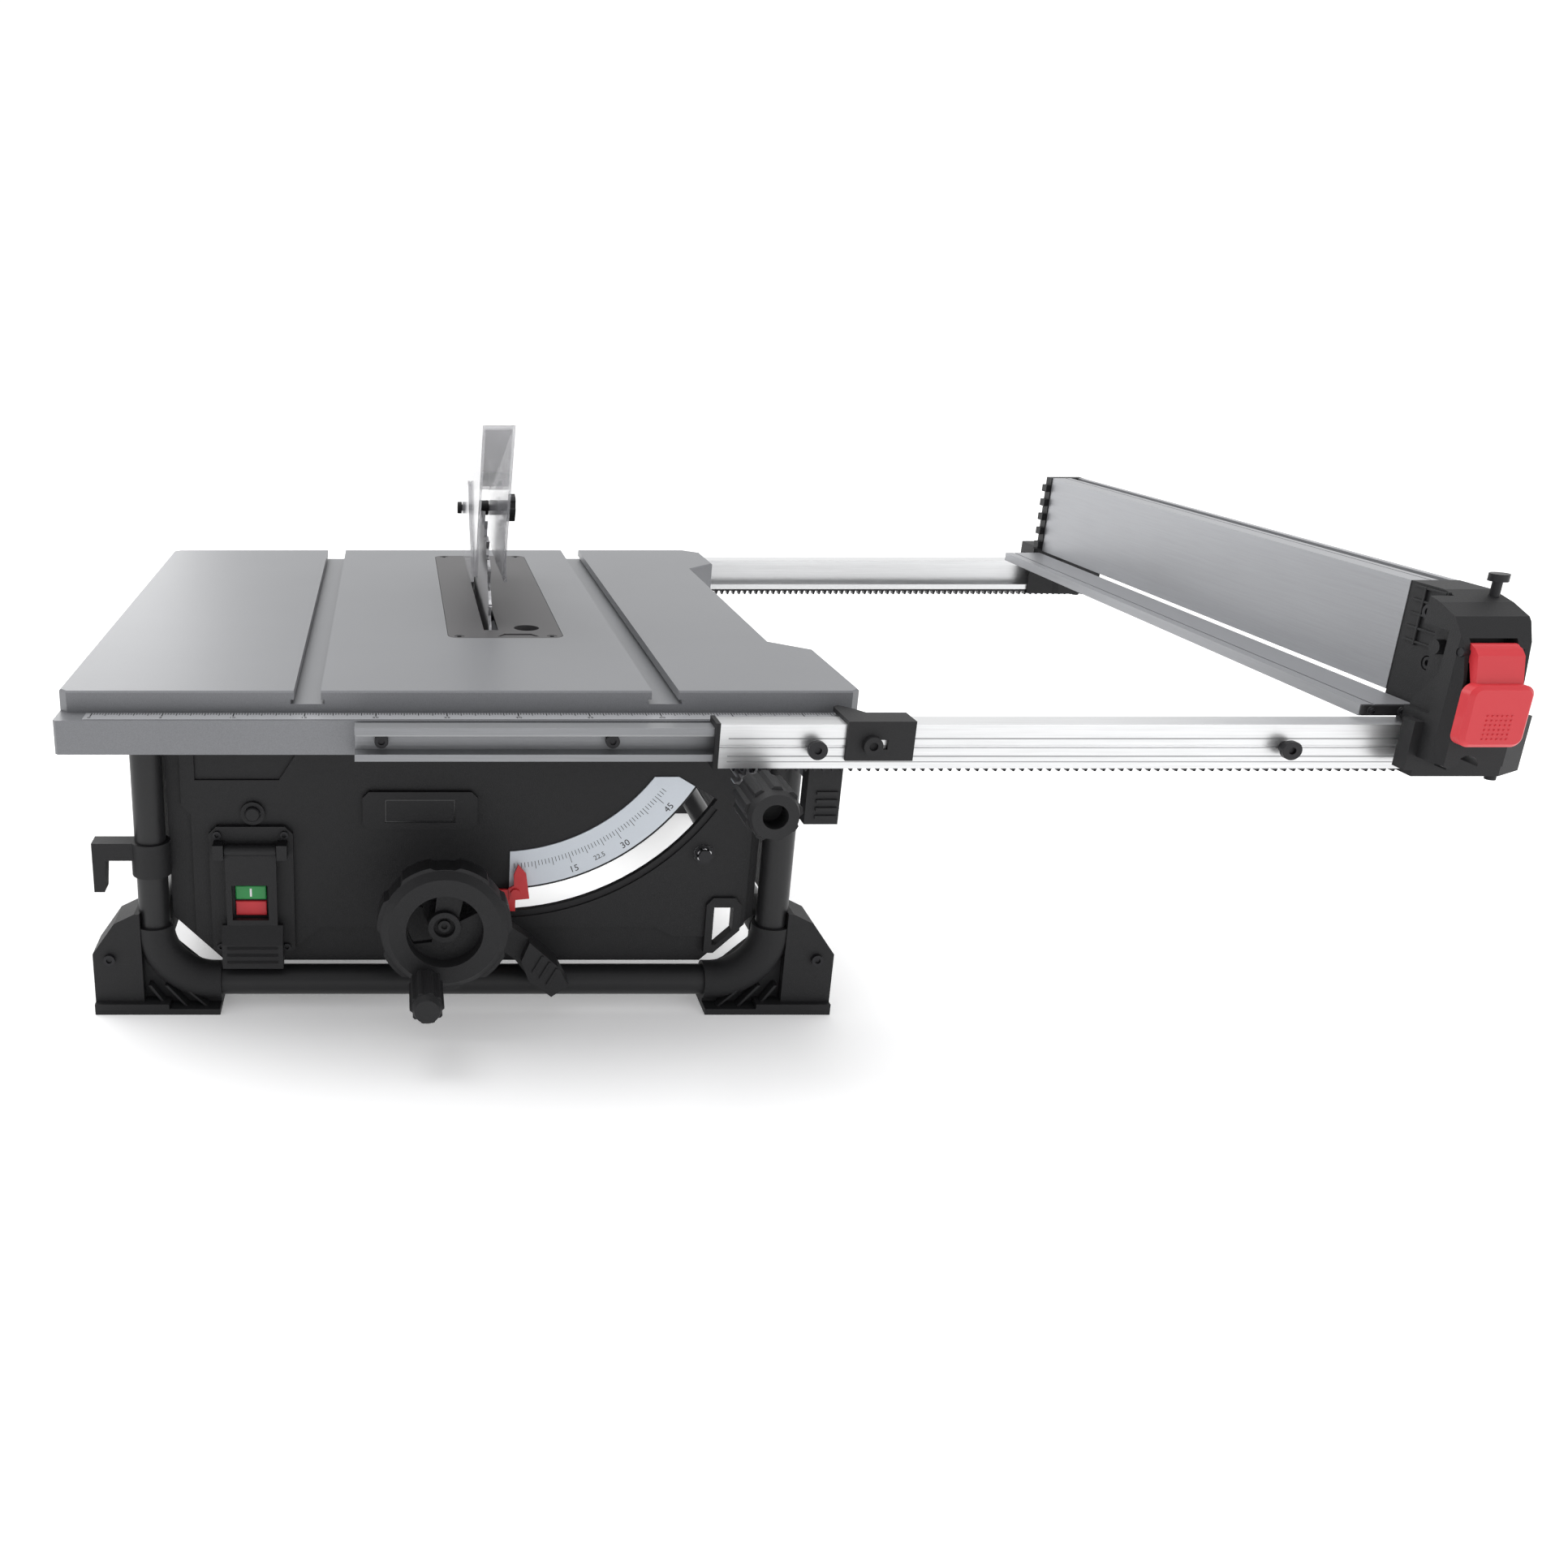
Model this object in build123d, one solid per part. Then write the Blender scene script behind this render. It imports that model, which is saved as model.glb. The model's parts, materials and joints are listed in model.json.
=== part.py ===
from build123d import *
import os
from math import cos, sin, radians, pi

# Portable table saw with extending rails. Everything is laid out in the saw's own working frame:
# X across the blade (blade plane at X = 0), Y from the front edge of the table to the rear,
# Z up with the table surface at Z = 0. The written parts are moved so that the origin is the
# centre of the four bolt-down holes, on the floor. Millimetres throughout.

# ---- driving dimensions -------------------------------------------------------------------
TABLE_LEFT = -318.3
TABLE_RIGHT = 248.6
TABLE_DEPTH = 575.6
TABLE_NOTCH = 28.3            # how far the right edge steps in between the rails
TABLE_PLATE = 8.0
TABLE_SKIRT = 40.5            # depth of the skirt below the table surface
TABLE_WALL = 12.0
LEDGE_DEPTH = 20.6            # front ledge that carries the rule
LEDGE_DROP = 15.7
FLOOR_DROP = 272.0            # table surface above the floor

SLOT_CENTRES = (-142.0, 110.4)
SLOT_WIDTH = 19.05
SLOT_T_WIDTH = 24.0
SLOT_LIP = 6.4
SLOT_DEPTH = 9.5

PLATE_LEFT = -36.3            # throat plate
PLATE_RIGHT = 57.2
PLATE_FRONT = 162.0
PLATE_REAR = 539.0
PLATE_THICK = 5.0
PLATE_LEDGE = 6.5
SLOT_HALF = 6.0               # half width of the blade slot
FINGER_HOLE_R = 10.5

BLADE_R = 127.0
BLADE_THICK = 2.4
BLADE_TEETH = 24
BLADE_Y = 314.0               # arbor position behind the table's front edge
CUT_HEIGHT = 80.0
ARBOR_Z = CUT_HEIGHT - BLADE_R
ARBOR_R = 8.0

GEAR_TEETH = 32
PINION_TEETH = 8
GEAR_MODULE = 1.2
GEAR_FACE = 12.0
MOTOR_ANGLE = 30.0            # motor axis below the horizontal through the arbor, behind it
MOTOR_R = 38.0
MOTOR_LENGTH = 112.0

TUBE_R = 12.0                 # frame tube
TUBE_WALL = 1.6
BEND_R = 45.0
LEG_LEFT = -267.3
LEG_RIGHT = 213.7
HOOP_FRONT_Y = 47.0
HOOP_REAR_Y = 530.0
CROSS_TUBE_Z = -249.0
SLEEVE_R = 15.0
GUSSET_FRONT = 12.0           # how far the gusset stands in front of the tube's centre plane
BOLT_SPAN_X = 548.0
BOLT_SPAN_Y = 420.0
BOLT_HOLE_R = 4.5

PANEL_Y = 51.0                # front face of the front panel's raised field
PANEL_FIELD = 3.0
PANEL_THICK = 4.0
PANEL_LEFT = -254.0
PANEL_RIGHT = 200.5
PANEL_BOTTOM = -236.0
ARC_INNER = 174.0             # arc slot that the handwheel swings along
ARC_OUTER = 193.0
ARC_FROM = -18.0
ARC_TO = 59.0
SCALE_INNER = 142.0
SCALE_OUTER = 172.0

WHEEL_X = -43.6               # handwheel axis
WHEEL_Z = -178.0
WHEEL_R = 47.5
WHEEL_LOBE = 2.3
WHEEL_LOBES = 7
WHEEL_FRONT = -18.6
WHEEL_OPENING = 28.5
CRANK_OFFSET = (-13.8, -38.0)
CRANK_R = 12.5

ROD_R = 6.0                   # lift guide rods
RUNNING = 0.06                # radial clearance of a shaft in its bore
CLEAR = 0.4                   # clearance between bodies that pass each other

RAIL_TOP = -12.0              # moving front rail
RAIL_BOTTOM = -43.4
RAIL_FRONT = -42.0
RAIL_BACK = -22.7
RAIL_WALL = 3.0
RAIL_START = 140.9
RAIL_END = 640.0
FIXED_START = -108.0
FIXED_END = 238.0
PIN_STATIONS = (205.9, 526.5, 621.0)
RACK_MODULE = 2.0
RACK_START = 146.0
RACK_END = 681.0
RACK_FACE = 8.0
PINION_X = 167.5
RAIL_PINION_TEETH = 10
SHAFT_R = 6.0

FENCE_X = 618.0               # fence face
FENCE_TOP = 78.5
FENCE_WIDTH = 32.0
FENCE_FRONT = 1.7
FENCE_REAR = 562.0
LEDGE_WIDTH = 40.0
LEDGE_THICK = 4.0

GUARD_HALF = 12.65            # half width over the guard's clear side walls
GUARD_WALL = 2.2
GUARD_BOLT = (408.4, 69.6)    # Y and Z of the bolt that carries the guard
KNIFE_THICK = 2.0
KNIFE_INNER = 132.0
KNIFE_OUTER = 164.0

# ---- derived values -----------------------------------------------------------------------
BASE_X = (LEG_LEFT + LEG_RIGHT) / 2
BASE_Y = (HOOP_FRONT_Y + HOOP_REAR_Y) / 2
NARROW_RIGHT = TABLE_RIGHT - TABLE_NOTCH
PINION_PITCH_R = RACK_MODULE * RAIL_PINION_TEETH / 2
RACK_PITCH_Z = RAIL_BOTTOM - 4.1
SHAFT_Z = RACK_PITCH_Z - PINION_PITCH_R
GEAR_CENTRES = GEAR_MODULE * (GEAR_TEETH + PINION_TEETH) / 2
MOTOR_Y = BLADE_Y + GEAR_CENTRES * cos(radians(MOTOR_ANGLE))
MOTOR_Z = ARBOR_Z - GEAR_CENTRES * sin(radians(MOTOR_ANGLE))
REAR_MIRROR = TABLE_DEPTH - LEDGE_DEPTH        # y of a rear rail piece = REAR_MIRROR - y at the front


# ---- building helpers ---------------------------------------------------------------------
def block(x0, x1, y0, y1, z0, z1):
    """Box between two corners."""
    return Pos((x0 + x1) / 2, (y0 + y1) / 2, (z0 + z1) / 2) * Box(x1 - x0, y1 - y0, z1 - z0)


def rod(axis, at, radius, start, end):
    """Cylinder along an axis; at holds the other two coordinates in X, Y, Z order."""
    length = end - start
    mid = (start + end) / 2
    if axis == "X":
        return Pos(mid, at[0], at[1]) * Rot(0, 90, 0) * Cylinder(radius, length)
    if axis == "Y":
        return Pos(at[0], mid, at[1]) * Rot(90, 0, 0) * Cylinder(radius, length)
    return Pos(at[0], at[1], mid) * Cylinder(radius, length)


def ring(axis, at, outer, inner, start, end):
    """Tube along an axis."""
    return rod(axis, at, outer, start, end) - rod(axis, at, inner, start - 1, end + 1)


def prism(axis, points, start, end):
    """Straight extrusion of a polygon along an axis; points hold the other two coordinates."""
    lifted = {
        "X": lambda a, b: (start, a, b),
        "Y": lambda a, b: (a, start, b),
        "Z": lambda a, b: (a, b, start),
    }[axis]
    outline = Polyline(*[lifted(a, b) for a, b in points], close=True)
    along = {"X": (1, 0, 0), "Y": (0, 1, 0), "Z": (0, 0, 1)}[axis]
    return extrude(make_face(outline), amount=end - start, dir=along)


def sector(inner, outer, first, last, start, end, steps=24):
    """Arc band about the bevel axis, angles from straight down towards +X, along Y."""
    def at(radius, k):
        angle = radians(first + (last - first) * k / steps)
        return radius * sin(angle), -radius * cos(angle)
    points = [at(outer, k) for k in range(steps + 1)]
    points += [at(inner, k) for k in reversed(range(steps + 1))]
    return prism("Y", points, start, end)


def swing_point(radius, angle):
    """X and Z of a point at a radius and angle from straight down about the bevel axis."""
    return radius * sin(radians(angle)), -radius * cos(radians(angle))


def gear(axis, at, teeth, module, start, end, slim=0.62, phase=0.0):
    """Spur gear with straight-sided teeth; slim is tooth thickness over half the pitch."""
    pitch_r = module * teeth / 2
    tip_r = pitch_r + 0.8 * module
    root_r = pitch_r - 1.25 * module
    half = pi / teeth / 2 * slim
    points = []
    for k in range(teeth):
        centre = 2 * pi * k / teeth + radians(phase)
        for radius, offset in ((root_r, -1.5), (tip_r, -0.45), (tip_r, 0.45), (root_r, 1.5)):
            angle = centre + offset * half
            points.append((at[0] + radius * cos(angle), at[1] + radius * sin(angle)))
    return prism(axis, points, start, end)


def rear(shape):
    """The matching rear piece of a front rail piece."""
    return Pos(0, REAR_MIRROR, 0) * mirror(shape, about=Plane.XZ)


def write(name, shape):
    """Write one piece in the record frame."""
    solids = shape.solids() if hasattr(shape, "solids") else [s for item in shape for s in item.solids()]
    moved = [Pos(-BASE_X, -BASE_Y, FLOOR_DROP) * solid for solid in solids]
    piece = moved[0] if len(moved) == 1 else Compound(children=moved)
    export_step(piece, f"parts/{name}.step")


# ---- table --------------------------------------------------------------------------------
def table_outline(inset, front, corner=6.0):
    """Plan of the table, stepped in along its right side."""
    left, right, narrow = TABLE_LEFT + inset, TABLE_RIGHT - inset, NARROW_RIGHT - inset
    back = TABLE_DEPTH - inset
    return [(left + corner, front), (right - corner, front), (right, front + corner),
            (right, 123.0 - inset / 2), (narrow, 150.0 - inset / 2), (narrow, 466.0 + inset / 2),
            (right, 495.0 + inset / 2), (right, back - 16.0), (right - 16.0, back),
            (left + corner, back), (left, back - corner), (left, front + corner)]


def table_top():
    top = prism("Z", table_outline(0.0, 0.0), -LEDGE_DROP - 1.0, 0.0)
    top = chamfer(top.faces().sort_by(Axis.Z)[-1].edges(), 1.2)
    ledge = table_outline(0.0, -LEDGE_DEPTH, 2.0)
    body = top + prism("Z", ledge, -TABLE_SKIRT, -LEDGE_DROP)
    body -= prism("Z", table_outline(TABLE_WALL, TABLE_PLATE), -TABLE_SKIRT - 1.0, -TABLE_PLATE)
    for centre in SLOT_CENTRES:
        body += block(centre - 22.0, centre + 22.0, TABLE_PLATE - 1, TABLE_DEPTH - TABLE_WALL + 1, -18.0,
                      -TABLE_PLATE)
    body += block(PLATE_LEFT - 8.0, PLATE_RIGHT + 8.0, PLATE_FRONT - 8.0, PLATE_REAR + 8.0, -14.0,
                  -TABLE_PLATE)
    for centre in SLOT_CENTRES:
        half, wide = SLOT_WIDTH / 2, SLOT_T_WIDTH / 2
        body -= block(centre - half, centre + half, -1.0, TABLE_DEPTH + 1.0, -SLOT_LIP - 0.5, 1.0)
        body -= block(centre - wide, centre + wide, -1.0, TABLE_DEPTH + 1.0, -SLOT_DEPTH, -SLOT_LIP)
    body -= throat_blank(0.4, -PLATE_THICK, 1.0)
    body -= block(PLATE_LEFT + PLATE_LEDGE, PLATE_RIGHT - PLATE_LEDGE, PLATE_FRONT + 12.0,
                  PLATE_REAR - 12.0, -15.0, 0.0)
    for x in RAIL_BOLT_X:
        hole = rod("Y", (x, RAIL_MID), 2.9, -LEDGE_DEPTH - 1.0, -9.0)
        body = body - hole - rear(hole)
    body += block(LOCK_X - 9.0, LOCK_X + 9.0, LOCK_Y1 + CLEAR, LOCK_Y1 + 18.0, LOCK_Z - 9.0, -TABLE_SKIRT + 2.0)
    body -= rod("Y", (LOCK_X, LOCK_Z), 5.0 + RUNNING, -40.0, 40.0)
    return body


def throat_blank(grow, z0, z1):
    """Outline of the throat plate with rounded corners."""
    blank = block(PLATE_LEFT - grow, PLATE_RIGHT + grow, PLATE_FRONT - grow, PLATE_REAR + grow, z0, z1)
    return fillet(blank.edges().filter_by(Axis.Z), 10.0)


def throat_screw_places():
    xs = (PLATE_LEFT + 9.0, PLATE_RIGHT - 9.0)
    ys = (PLATE_FRONT + 6.0, PLATE_REAR - 6.0)
    return [(x, y) for x in xs for y in ys]


def throat_plate():
    plate = throat_blank(0.0, -PLATE_THICK, 0.0)
    plate -= block(-SLOT_HALF, SLOT_HALF, 190.0, 515.0, -6.0, 1.0)
    plate -= block(SLOT_HALF - 1.0, SLOT_HALF + 4.0, 190.0, 515.0, -6.0, -2.6)
    plate -= rod("Z", (30.0, 198.0), FINGER_HOLE_R, -6.0, 1.0)
    for x, y in throat_screw_places():
        plate -= rod("Z", (x, y), 4.2, -2.6, 1.0)
        plate -= rod("Z", (x, y), 2.1, -6.0, 1.0)
    badge = prism("Z", [(4.0, 167.0), (38.0, 167.0), (32.0, 177.0), (10.0, 177.0)], -0.8, 1.0)
    return plate - badge


# ---- frame --------------------------------------------------------------------------------
def hoop_path(y):
    corners = [(LEG_LEFT, y, -TABLE_PLATE), (LEG_LEFT, y, CROSS_TUBE_Z), (LEG_RIGHT, y, CROSS_TUBE_Z),
               (LEG_RIGHT, y, -TABLE_PLATE)]
    return FilletPolyline(*corners, radius=BEND_R)


def hoop_solid(y, radius):
    start = Plane(origin=(LEG_LEFT, y, -TABLE_PLATE), z_dir=(0, 0, -1))
    return sweep(start * Circle(radius), path=hoop_path(y))


def frame_hoop(y):
    return hoop_solid(y, TUBE_R) - hoop_solid(y, TUBE_R - TUBE_WALL)


def side_tubes():
    inner = []
    for x in (LEG_LEFT, LEG_RIGHT):
        tube = ring("Y", (x, CROSS_TUBE_Z + BEND_R - 5.0), TUBE_R - 2.0, TUBE_R - 2.0 - TUBE_WALL,
                    HOOP_FRONT_Y + TUBE_R + 10.0, HOOP_REAR_Y - TUBE_R - 10.0)
        inner.append(tube)
    return inner


def foot_screw_place(side):
    return (LEG_LEFT if side < 0 else LEG_RIGHT) + side * 35.0, -226.0


def elbow(side, y, radius):
    """Sleeve core round the corner of the hoop, of a given section radius."""
    leg = LEG_LEFT if side < 0 else LEG_RIGHT
    across = sorted((leg - side * (BEND_R + 6.0), leg + side * (radius + 1.0)))
    corner = block(across[0], across[1], y - radius - 1.0, y + radius + 1.0, CROSS_TUBE_Z - radius - 1.0,
                   CROSS_TUBE_Z + BEND_R + 3.5)
    return hoop_solid(y, radius) & corner


def foot(side, y, towards):
    """Corner foot: sleeve round the bend, gusset outwards, ribs and a bolt-down flange."""
    leg = LEG_LEFT if side < 0 else LEG_RIGHT
    bolt_x = BASE_X + side * BOLT_SPAN_X / 2
    bolt_y = BASE_Y - towards * BOLT_SPAN_Y / 2
    outer = leg + side * 48.3
    bend_z = CROSS_TUBE_Z + BEND_R

    def px(offset):
        return leg - side * offset

    def plate(shape, first, last):
        ends = sorted((y + towards * first, y + towards * last))
        return prism("Y", shape, ends[0], ends[1])
    gusset = [(outer, -FLOOR_DROP), (outer, -222.0), (px(-30.0), -196.0), (px(-14.0), -188.0), (px(-10.0), -188.0),
              (px(-10.0), -FLOOR_DROP)]
    wall = [(px(-14.0), -FLOOR_DROP), (px(-14.0), -188.0), (px(0.0), -188.0), (px(2.0), bend_z - 10.0),
            (px(30.0), bend_z - 36.0), (px(50.0), CROSS_TUBE_Z - 2.0), (px(50.0), -FLOOR_DROP)]
    body = plate(gusset, -GUSSET_FRONT, 22.0) + plate(wall, -3.0, 22.0)
    for low, high in ((-13.0, -12.0), (8.0, -5.0), (24.0, 8.0), (40.0, 20.0)):
        rib = [(px(high - 1.2), CROSS_TUBE_Z), (px(low - 1.2), -FLOOR_DROP + 4.0), (px(low + 1.2), -FLOOR_DROP + 4.0),
               (px(high + 1.2), CROSS_TUBE_Z)]
        body += plate(rib, -GUSSET_FRONT, 0.0)
    front, flange_end = y - towards * 17.0, bolt_y + towards * 13.0
    flange = sorted((front, flange_end))
    body += block(min(outer, px(10.0)), max(outer, px(10.0)), flange[0], flange[1], -FLOOR_DROP, -FLOOR_DROP + 9.0)
    pad = sorted((front, y + towards * 22.0))
    body += block(min(outer, px(50.0)), max(outer, px(50.0)), pad[0], pad[1], -FLOOR_DROP, -FLOOR_DROP + 5.0)
    body += elbow(side, y, SLEEVE_R)
    tube_y = sorted((y + towards * 12.0, y + towards * 46.0))
    body += rod("Y", (leg, bend_z - 5.0), SLEEVE_R - 1.5, tube_y[0], tube_y[1])
    web = sorted((y, y + towards * 40.0))
    body += block(leg - 6.0, leg + 6.0, web[0], web[1], -FLOOR_DROP, bend_z - 8.0)
    body -= hoop_solid(y, TUBE_R)
    end = sorted((y + towards * (TUBE_R + 10.0), y + towards * 60.0))
    body -= rod("Y", (leg, bend_z - 5.0), TUBE_R - 2.0, end[0], end[1])
    body -= rod("Z", (bolt_x, bolt_y), BOLT_HOLE_R, -FLOOR_DROP - 1.0, -FLOOR_DROP + 12.0)
    screw = sorted((y - towards * (GUSSET_FRONT + 1.0), y - towards * (GUSSET_FRONT - 2.0)))
    body -= rod("Y", foot_screw_place(side), 2.0, screw[0], screw[1])
    return max(body.solids(), key=lambda s: s.volume)


# ---- housing ------------------------------------------------------------------------------
def front_panel():
    clip = BEND_R - 6.0
    outline = [(PANEL_LEFT, -TABLE_SKIRT), (PANEL_RIGHT, -TABLE_SKIRT), (PANEL_RIGHT, PANEL_BOTTOM + clip),
               (PANEL_RIGHT - clip, PANEL_BOTTOM), (PANEL_LEFT + clip, PANEL_BOTTOM),
               (PANEL_LEFT, PANEL_BOTTOM + clip)]
    back = PANEL_Y + PANEL_FIELD
    panel = prism("Y", outline, back, back + PANEL_THICK)
    panel += block(PANEL_LEFT, PANEL_LEFT + 4.0, back, back + 26.0, PANEL_BOTTOM + clip, -TABLE_SKIRT)
    panel += block(PANEL_RIGHT - 4.0, PANEL_RIGHT, back, back + 26.0, PANEL_BOTTOM + clip, -TABLE_SKIRT)
    field = [(-243.0, -50.0), (188.0, -50.0), (194.0, -56.0), (194.0, -205.0), (182.0, -214.0), (138.0, -214.0),
             (124.0, -206.0), (-138.0, -206.0), (-156.0, -221.0), (-228.0, -221.0), (-236.0, -212.0),
             (-236.0, -112.0), (-243.0, -104.0)]
    panel += prism("Y", field, PANEL_Y, back)
    pocket = [(-232.0, -56.0), (-150.0, -56.0), (-168.0, -84.0), (-232.0, -84.0)]
    panel -= prism("Y", pocket, PANEL_Y - 1.0, PANEL_Y + 2.0)
    panel += sector(ARC_INNER - 5.0, ARC_OUTER + 6.0, ARC_FROM - 2.0, ARC_TO - 1.0, PANEL_Y, back)
    panel -= sector(ARC_OUTER - 1.0, ARC_OUTER + 5.0, ARC_FROM - 1.0, ARC_TO - 2.0, PANEL_Y - 1.0, PANEL_Y + 1.6)
    panel -= sector(ARC_INNER, ARC_OUTER, ARC_FROM, ARC_TO, PANEL_Y - 1.0, back + PANEL_THICK + 1.0)
    frame = prism("Y", [(163.0, -227.0), (163.0, -186.0), (168.0, -180.0), (185.0, -180.0), (190.0, -186.0),
                        (190.0, -227.0)], PANEL_Y - 3.0, back)
    panel += frame
    panel = panel & prism("Y", outline, PANEL_Y - 5.0, back + 30.0)
    slot = [(169.0, -188.0), (184.0, -188.0), (184.0, -208.0), (172.0, -220.0), (169.0, -220.0)]
    panel -= prism("Y", slot, PANEL_Y - 4.0, back + PANEL_THICK + 1.0)
    panel += ring("Y", RESET_AT, 9.2, 6.0, PANEL_Y - 3.0, back + PANEL_THICK)
    panel -= rod("Y", RESET_AT, 6.0, PANEL_Y - 4.0, back + PANEL_THICK + 1.0)
    panel -= rod("Y", (PINION_X, SHAFT_Z), SHAFT_R + RUNNING, PANEL_Y - 4.0, back + PANEL_THICK + 1.0)
    panel -= block(SWITCH_X0 + 8.0, SWITCH_X1 - 8.0, PANEL_Y - 4.0, back + PANEL_THICK + 1.0, SWITCH_Z0 + 24.0,
                   SWITCH_Z1 - 28.0)
    return max(panel.solids(), key=lambda s: s.volume)


def badge_plate():
    outline = [(-104.6, -97.0), (-100.0, -92.2), (-22.0, -92.2), (-17.3, -97.0), (-17.3, -118.0), (-22.0, -122.6),
               (-100.0, -122.6), (-104.6, -118.0)]
    plate = prism("Y", outline, PANEL_Y - 4.0, PANEL_Y)
    return plate - block(-88.0, -34.0, PANEL_Y - 5.0, PANEL_Y - 3.4, -117.0, -98.0)


def bevel_scale():
    plate = sector(SCALE_INNER, SCALE_OUTER, 0.0, 59.0, PANEL_Y - 1.2, PANEL_Y)
    return plate & block(8.7, 200.0, PANEL_Y - 5.0, PANEL_Y + 5.0, -200.0, -81.0)


def side_cover(x, y0, y1):
    cover = block(x - 2.0, x + 2.0, y0, y1, -232.0, -TABLE_SKIRT)
    tall = -TABLE_SKIRT - 20.0
    for k in range(9):
        z = tall - 12.0 * k - 20.0
        cover -= block(x - 3.0, x + 3.0, BASE_Y - 70.0, BASE_Y + 70.0, z - 5.0, z)
    tube = CROSS_TUBE_Z + BEND_R - 5.0
    cover -= block(x - 3.0, x + 3.0, y0 - 1.0, y1 + 1.0, tube - TUBE_R - 30.0, tube + TUBE_R + 11.0)
    return max(cover.solids(), key=lambda s: s.volume)


def rear_cover():
    y = HOOP_REAR_Y - 7.0
    clip = BEND_R - 6.0
    outline = [(PANEL_LEFT, -TABLE_SKIRT), (PANEL_RIGHT, -TABLE_SKIRT), (PANEL_RIGHT, PANEL_BOTTOM + clip),
               (PANEL_RIGHT - clip, PANEL_BOTTOM), (PANEL_LEFT + clip, PANEL_BOTTOM),
               (PANEL_LEFT, PANEL_BOTTOM + clip)]
    cover = prism("Y", outline, y - PANEL_THICK, y)
    for k in range(6):
        z = -96.0 - 14.0 * k
        cover -= block(-232.0, -150.0, y - PANEL_THICK - 1.0, y + 1.0, z - 6.0, z)
    cover -= rod("Y", DUST_AT, DUST_R - 3.0, y - PANEL_THICK - 1.0, y + 1.0)
    cover -= rod("Y", (PINION_X, SHAFT_Z), SHAFT_R + RUNNING, y - PANEL_THICK - 1.0, y + 1.0)
    cover -= rod("Y", GLAND_AT, 8.0, y - PANEL_THICK - 1.0, y + 1.0)
    return cover


def dust_port():
    y = HOOP_REAR_Y - 7.0
    port = ring("Y", DUST_AT, DUST_R, DUST_R - 3.0, y, y + 52.0)
    return port + ring("Y", DUST_AT, DUST_R + 10.0, DUST_R - 3.0, y, y + 4.0)


def cord_gland():
    y = HOOP_REAR_Y - 7.0
    gland = ring("Y", GLAND_AT, 8.0, 4.0, y - PANEL_THICK - 8.0, y + 6.0)
    hexagon = [(GLAND_AT[0] + 12.0 * cos(radians(60 * k)), GLAND_AT[1] + 12.0 * sin(radians(60 * k)))
               for k in range(6)]
    return gland + (prism("Y", hexagon, y, y + 8.0) - rod("Y", GLAND_AT, 4.0, y - 1.0, y + 9.0))


def side_hook():
    x = LEG_LEFT - TUBE_R
    profile = [(x, -131.0), (x - 32.0, -131.0), (x - 32.0, -171.0), (x - 24.0, -171.0), (x - 22.0, -145.0),
               (x, -145.0)]
    hook = prism("Y", profile, HOOP_FRONT_Y - 8.0, HOOP_FRONT_Y + 8.0)
    clamp = ring("Z", (LEG_LEFT, HOOP_FRONT_Y), TUBE_R + 3.0, TUBE_R, -158.0, -131.0)
    return hook + clamp


def trunnion(y, top):
    profile = [(-84.0, top), (84.0, top), (84.0, -42.0), (60.0, -90.0), (-60.0, -90.0), (-84.0, -42.0)]
    plate = prism("Y", profile, y, y + 8.0)
    return plate - sector(TRUNNION_R - 6.5, TRUNNION_R + 6.5, -57.0, 47.0, y - 1.0, y + 9.0)


# ---- switch -------------------------------------------------------------------------------
def switch_screw_places():
    return [(x, z) for x in (SWITCH_X0 + 6.5, SWITCH_X1 - 6.5) for z in (SWITCH_Z0 + 8.0, SWITCH_Z1 - 6.5)]


def switch_plate():
    x0, x1, z0, z1 = SWITCH_X0, SWITCH_X1, SWITCH_Z0, SWITCH_Z1
    cut = 6.0
    outline = [(x0 + cut, z1), (x1 - cut, z1), (x1, z1 - cut), (x1, z0 + cut), (x1 - cut, z0), (x0 + cut, z0),
               (x0, z0 + cut), (x0, z1 - cut)]
    plate = prism("Y", outline, PANEL_Y - 5.0, PANEL_Y)
    box = block(x0 + 9.0, x1 - 9.0, PANEL_Y, PANEL_Y + 34.0, z0 + 25.0, z1 - 29.0)
    plate += box
    for low, high in ((STOP_Z0, STOP_Z1), (START_Z0, START_Z1)):
        plate -= block(BUTTON_X0 - CLEAR, BUTTON_X1 + CLEAR, PANEL_Y - 6.0, PANEL_Y + 16.0, low - CLEAR, high + CLEAR)
    for place in switch_screw_places():
        plate -= rod("Y", place, 1.6, PANEL_Y - 6.0, PANEL_Y - 2.0)
    for x in (x0 + 8.0, x1 - 8.0):
        ear = block(x - 4.0, x + 4.0, PANEL_Y - 17.0, PANEL_Y - 4.0, PADDLE_Z - 6.0, PADDLE_Z + 6.0)
        plate += ear - rod("X", (PADDLE_Y, PADDLE_Z), 2.5 + RUNNING, x - 5.0, x + 5.0)
    return plate


def switch_button(low, high):
    front = block(BUTTON_X0, BUTTON_X1, PANEL_Y - 6.5, PANEL_Y + 8.0, low, high)
    return fillet(front.faces().sort_by(Axis.Y)[0].edges(), 1.0)


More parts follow.
